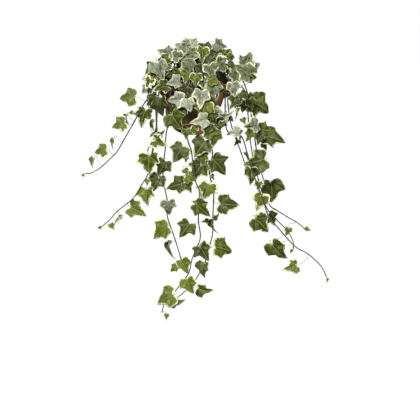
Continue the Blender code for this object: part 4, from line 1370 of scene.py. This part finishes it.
class Nodes:
    """Short calls that build a material's nodes. Values may be fields, plain numbers or colours."""

    def __init__(self, name):
        self.material = bpy.data.materials.new(name)
        self.material.use_nodes = True
        self.tree = self.material.node_tree
        self.shader = self.tree.nodes["Principled BSDF"]

    def node(self, kind, inputs, output=0, **settings):
        made = self.tree.nodes.new(kind)
        for key, value in settings.items():
            setattr(made, key, value)
        self.join(made, inputs)
        return Field(self, made.outputs[output])

    def join(self, made, inputs):
        """Links fields to a node's sockets, and sets plain values on them."""
        for key, value in inputs.items():
            if isinstance(value, Field):
                self.tree.links.new(value.socket, made.inputs[key])
            else:
                made.inputs[key].default_value = value

    def math(self, operation, *values):
        return self.node("ShaderNodeMath", dict(enumerate(values)), operation=operation)

    def vector_math(self, operation, *values):
        return self.node("ShaderNodeVectorMath", dict(enumerate(values)), operation=operation)

    def step(self, edge, value):
        """0 at the edge's first value and 1 at its last, smooth between."""
        inputs = {"Value": value, "From Min": edge[0], "From Max": edge[1]}
        return self.node("ShaderNodeMapRange", inputs, interpolation_type="SMOOTHSTEP")

    def blend(self, one, other, factor):
        """A colour between two, the other where the factor is 1."""
        one, other = (value if isinstance(value, Field) else (*value, 1) for value in (one, other))
        return self.node("ShaderNodeMix", {0: factor, 6: one, 7: other}, 2, data_type="RGBA")

    def noise(self, vector, form):
        scale, detail, rough = form
        inputs = {"Vector": vector, "Scale": scale, "Detail": detail, "Roughness": rough}
        return self.node("ShaderNodeTexNoise", inputs)

    def where(self):
        """The place on the object, in metres."""
        return self.node("ShaderNodeTexCoord", {}, "Object")

    def attribute(self, name, output):
        return self.node("ShaderNodeAttribute", {}, output, attribute_name=name)

    def split(self, vector):
        made = self.tree.nodes.new("ShaderNodeSeparateXYZ")
        self.join(made, {0: vector})
        return [Field(self, output) for output in made.outputs]

    def shifted(self, place, *shift):
        """A place moved by three values."""
        vector = self.node("ShaderNodeCombineXYZ", dict(zip("XYZ", shift)))
        return self.vector_math("ADD", place, vector)

    def surface(self, colour, grain, relief):
        """The material with this colour, a roughness that follows the grain, and bumps from the relief."""
        gain, least, shine, strength, height = SURFACES[self.material.name]
        bumps = self.node("ShaderNodeBump", {"Height": relief, "Strength": strength, "Distance": height})
        inputs = {"Base Color": colour, "Roughness": grain * gain + least, "Specular IOR Level": shine}
        self.join(self.shader, {**inputs, "Normal": bumps})
        return self.material


def vein_fields(nodes, across, along):
    """Distance from the nearest main vein and place along it, for veins that fan from the petiole, and a
    number for the part of the blade between two of them."""
    far = abs(across)
    near, place = far, along
    part = nodes.math("GREATER_THAN", across, 0.0) * SIDE_APART
    for angle in VEIN_ANGLES:
        run = far * math.sin(angle) + along * math.cos(angle)
        off = far * math.cos(angle) - along * math.sin(angle)
        part = nodes.math("GREATER_THAN", off, 0.0) * LOBE_APART + part
        off = abs(off) + nodes.math("MAXIMUM", run * -BEHIND_COST, 0.0)
        place = place + nodes.math("LESS_THAN", off, near) * (run - place)
        near = nodes.math("MINIMUM", near, off)
    return near, place, part


def vein_lines(nodes, near, down):
    """How much of a vein there is at each point: the main veins and the faint side veins between them."""
    rows = nodes.math("FRACT", (down - near) / SIDE_VEIN_SPACING)
    side = nodes.step(SIDE_VEIN_EDGE, abs(rows - 0.5)) * nodes.step(SIDE_VEIN_ENDS, near)
    return nodes.math("MAXIMUM", nodes.step(VEIN_EDGE, near), side * SIDE_VEIN_SHARE)


def blade_material(name, upper):
    """Green patches that pale along the veins, inside a ragged cream margin."""
    nodes = Nodes(name)
    spot = nodes.node("ShaderNodeUVMap", {}, uv_map="leaf")
    across, along, _ = nodes.split(spot)
    edge = nodes.attribute("edge", "Fac")
    cream, silver, light = nodes.split(nodes.attribute("tone", "Color"))
    seed = nodes.attribute("tone", "Alpha")
    place = nodes.shifted(spot, seed * SEED_SPREAD, seed, seed)
    near, down, part = vein_fields(nodes, across, along)
    veins = vein_lines(nodes, near, down)
    broad = nodes.noise(place, BROAD_NOISE)
    ragged = nodes.noise(place, RAGGED_NOISE)
    fine = nodes.noise(place, FINE_NOISE)
    streaks = nodes.noise(nodes.vector_math("MULTIPLY", place, STREAK_SCALE), STREAK_NOISE)
    patch = nodes.noise(nodes.shifted(place, 0.0, 0.0, part), PATCH_NOISE)
    green = nodes.blend(DEEP_GREEN, FRESH_GREEN, nodes.step(MOTTLE_EDGE, (patch - 0.5) * MOTTLE_GAIN + light))
    paleness = (silver - PALE_FROM) * PALE_GAIN + streaks + PALE_START - edge * PALE_EDGE_LOSS
    grey = nodes.blend(SILVER, PALE_SILVER, nodes.step(PALE_EDGE, paleness))
    colour = nodes.blend(green, grey, silver * nodes.step(GREY_EDGE, patch + silver * GREY_GAIN))
    colour = nodes.blend(colour, VEIN_GREEN, veins * VEIN_SHARE)
    colour = nodes.blend(colour, CREAM, nodes.step(MIDRIB_EDGE, abs(across)) * MIDRIB_SHARE)
    faded = patch * FADED_PATCH + cream * FADED_CREAM - FADED_LOSS
    margin = nodes.blend(PALE_GREEN, CREAM, nodes.step(FADED_EDGE, faded))
    reach = cream * CREAM_REACH * (broad * BROAD_GAIN + ragged * RAGGED_GAIN - REACH_LOSS)
    colour = nodes.blend(colour, margin, nodes.step(CREAM_EDGE, reach - edge))
    if not upper:
        colour = nodes.blend(colour, UNDER_GREEN, UNDER_SHARE)
    # Painted shade: where light is below 0, as on the inner leaves, the colour goes towards near black
    colour = nodes.blend(INNER_PAINTED_SHADE, colour, nodes.step(PAINTED_SHADE_EDGE, light))
    relief = veins * (-1.0 if upper else 1.0) + fine * FINE_RELIEF + patch * PATCH_RELIEF
    relief = relief + nodes.math("MINIMUM", near, QUILT_LIMIT) * QUILT_RELIEF
    return nodes.surface(colour, ragged, relief)


def stalk_material():
    """Woody brown at the foot, greener to the tip, with pinkish green petioles."""
    nodes = Nodes("ivy_stalk")
    age = nodes.attribute("edge", "Fac")
    mottle = nodes.noise(nodes.where(), STALK_NOISE)
    wood, fresh, petiole = (nodes.blend(*pair, mottle) for pair in (WOOD, FRESH_STALK, PETIOLE))
    stem = nodes.blend(fresh, wood, nodes.step(WOODY_AGES, age))
    colour = nodes.blend(petiole, stem, nodes.step(STEM_AGES, age))
    return nodes.surface(colour, mottle, mottle)


def pot_material():
    """Moulded brown plastic, a little dusty and scuffed."""
    nodes = Nodes("pot_plastic_fine")
    where = nodes.where()
    cloud = nodes.noise(where, CLOUD_NOISE)
    dust = nodes.step(DUST_EDGE, cloud) * DUST_SHARE
    colour = nodes.blend(nodes.blend(*POT_BROWN, cloud), DUST, dust)
    return nodes.surface(colour, cloud, nodes.noise(where, GRAIN_NOISE))


def soil_material():
    """Dark damp crumbs with paler fibres."""
    nodes = Nodes("soil_fine")
    where = nodes.where()
    crumbs = nodes.noise(where, CRUMB_NOISE)
    clods = nodes.noise(where, CLOD_NOISE)
    colour = nodes.blend(nodes.blend(*SOIL_BROWN, crumbs), FIBRE, nodes.step(FIBRE_EDGE, crumbs))
    return nodes.surface(colour, clods, crumbs + clods)


# Pot and soil


def shape_object(name, shape, material=None, collection=None):
    """An object made of a bmesh, which is freed."""
    mesh = bpy.data.meshes.new(name)
    shape.to_mesh(mesh)
    shape.free()
    if material:
        mesh.materials.append(material)
    return new_object(name, mesh, collection)


def turned(name, profile, material):
    """A closed solid turned from a profile of (radius, height) that starts and ends on the axis."""
    shape = bmesh.new()
    rings = []
    for radius, height in profile:
        turn = [2 * math.pi * i / FINE_TURN for i in range(FINE_TURN if radius else 1)]
        rings.append([shape.verts.new(on_ring(radius, angle, height)) for angle in turn])
    for low, high in zip(rings, rings[1:]):
        for i in range(FINE_TURN):
            j = i + 1
            corners = [low[i % len(low)], low[j % len(low)], high[j % len(high)], high[i % len(high)]]
            shape.faces.new(list(dict.fromkeys(corners)))
    bmesh.ops.recalc_face_normals(shape, faces=shape.faces[:])
    return shape_object(name, shape, material)


def inner_radius(height):
    """The radius of the pot's tapered inner wall at this height."""
    share = (-height - BAND_HEIGHT) / (POT_HEIGHT - BAND_HEIGHT)
    return (RIM_RADIUS - BAND_STEP) * (1 - share) + FOOT_RADIUS * share - POT_WALL


def rounded(points, radius):
    """A profile whose corners, but not its ends, are rounded by short curves."""
    points = [Vector(point) for point in points]
    line = [points[0]]
    for before, corner, after in zip(points, points[1:], points[2:]):
        enter, leave = (
            corner + run.normalized() * min(radius, run.length * MOST_ROUNDED)
            for run in (before - corner, after - corner)
        )
        for i in range(ROUNDING_STEPS + 1):
            t = i / ROUNDING_STEPS
            line.append(enter * (1 - t) ** 2 + corner * 2 * t * (1 - t) + leave * t * t)
    return [*line, points[-1]]


def cutter(radius, depth, collection):
    shape = bmesh.new()
    bmesh.ops.create_cone(
        shape, cap_ends=True, segments=CUTTER_SIDES, radius1=radius, radius2=radius, depth=depth
    )
    return shape_object("cutter", shape, collection=collection)


def dress_pot():
    floor = POT_WALL - POT_HEIGHT
    step = POT_WALL - BAND_HEIGHT
    profile = (
        (0, floor),
        (inner_radius(floor), floor),
        (inner_radius(step), step),
        (RIM_RADIUS - POT_WALL, step),
        (RIM_RADIUS - POT_WALL, 0),
        (RIM_RADIUS, 0),
        (RIM_RADIUS, -BAND_HEIGHT),
        (RIM_RADIUS - BAND_STEP, -BAND_HEIGHT),
        (FOOT_RADIUS, -POT_HEIGHT),
        (0, -POT_HEIGHT),
    )
    pot = turned("pot_fine", rounded(profile, RIM_ROUNDING), pot_material())
    cutters = bpy.data.collections.new("pot_cutters")
    bpy.context.scene.collection.children.link(cutters)
    for i in range(HANGER_HOLES):
        angle = 2 * math.pi * (i + 0.5) / HANGER_HOLES
        hole = cutter(HANGER_HOLE_RADIUS, HANGER_CUT, cutters)
        hole.location = on_ring(RIM_RADIUS, angle, -BAND_HEIGHT / 2)
        hole.rotation_euler = (0, math.pi / 2, angle)
    for i in range(DRAIN_HOLES):
        angle = 2 * math.pi * i / DRAIN_HOLES
        hole = cutter(DRAIN_HOLE_RADIUS, DRAIN_CUT, cutters)
        hole.location = on_ring(DRAIN_CIRCLE, angle, -POT_HEIGHT)
    bpy.context.view_layer.update()
    modifier = pot.modifiers.new("cut", "BOOLEAN")
    modifier.operand_type = "COLLECTION"
    modifier.collection = cutters
    pot.data = evaluated_mesh(pot)
    pot.modifiers.clear()
    for hole in list(cutters.objects):
        bpy.data.objects.remove(hole)
    bpy.data.collections.remove(cutters)
    pot.data.shade_smooth()
    pot.data.set_sharp_from_angle(angle=CREASE)
    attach(pot, "root")
    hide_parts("pot")


def dress_soil():
    """Soil with a crumbly domed top."""
    floor = POT_WALL - POT_HEIGHT + SEAT_GAP
    wide = inner_radius(SOIL_EDGE) - SEAT_GAP
    shares = [i / SOIL_GRID for i in range(SOIL_GRID + 1)]
    top = [(wide * share, SOIL_CROWN + (SOIL_EDGE - SOIL_CROWN) * share * share) for share in shares]
    profile = [*top, (inner_radius(floor) - SEAT_GAP, floor), (0, floor)]
    soil = turned("soil_fine", profile, soil_material())
    for vertex in soil.data.vertices:
        if vertex.co.z > SOIL_TOP:
            calm = 1 - smoothstep(wide - SOIL_CALM, wide, vertex.co.xy.length)
            vertex.co.z += calm * sum(height * noise.noise(vertex.co / width) for height, width in SOIL_LUMPS)
    soil.data.shade_smooth()
    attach(soil, "root")
    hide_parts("soil")


# Stage, light and camera


def stage_material():
    """An even pale surface that hardly depends on the light that falls on it."""
    nodes = Nodes("pale_stage")
    inputs = {
        "Base Color": (*STAGE_TONE, 1),
        "Roughness": STAGE_ROUGHNESS,
        "Emission Color": WHITE,
        "Emission Strength": STAGE_GLOW,
    }
    nodes.join(nodes.shader, inputs)
    nodes.material.cycles.emission_sampling = "NONE"
    return nodes.material


def stage_piece(name, shape, material):
    """A part of the surround. It gives no light of its own to the plant."""
    thing = shape_object(name, shape, material)
    thing.visible_diffuse = False
    thing.visible_glossy = False
    thing.visible_shadow = False
    return thing


def area_light(name, place, target, size, power):
    light = bpy.data.lights.new(name, "AREA")
    light.shape = "DISK"
    light.size = size
    light.energy = power
    thing = new_object(name, light)
    thing.location = place
    thing.rotation_euler = (Vector(target) - Vector(place)).to_track_quat("-Z", "Y").to_euler()


def set_stage():
    """A pale floor well below the plant in a pale surround, and soft studio light."""
    material = stage_material()
    floor = bmesh.new()
    bmesh.ops.create_grid(floor, x_segments=1, y_segments=1, size=STAGE_RADIUS)
    stage_piece("floor", floor, material).location.z = FLOOR_HEIGHT
    dome = bmesh.new()
    bmesh.ops.create_icosphere(dome, subdivisions=STAGE_DETAIL, radius=STAGE_RADIUS)
    stage_piece("surround", dome, material)
    world = bpy.data.worlds.new("surround")
    bpy.context.scene.world = world
    world.use_nodes = True
    background = world.node_tree.nodes["Background"]
    background.inputs["Color"].default_value = WHITE
    background.inputs["Strength"].default_value = FILL_STRENGTH
    for light in LIGHTS:
        area_light(*light)
    bpy.context.scene.view_settings.view_transform = "Standard"


def set_camera():
    camera = bpy.data.cameras.new("camera")
    camera.sensor_width = SENSOR
    camera.lens = SENSOR * CAMERA_DISTANCE / PHOTO_WIDTH
    camera.clip_end = 3 * STAGE_RADIUS
    thing = new_object("camera", camera)
    thing.location = seen(*PHOTO_CENTRE, 0) + TO_VIEWER * CAMERA_DISTANCE
    thing.rotation_euler = (math.pi / 2 - SEEN_FROM, 0, 0)
    bpy.context.scene.camera = thing


def main():
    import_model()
    set_camera()
    stems = grow_stems()
    grow_leaves(stems)
    materials = {
        "upper": blade_material("ivy_upper", True),
        "under": blade_material("ivy_under", False),
        "stalk": stalk_material(),
    }
    for stem in stems:
        dress_stem(stem, materials)
    dress_pot()
    dress_soil()
    set_stage()


main()
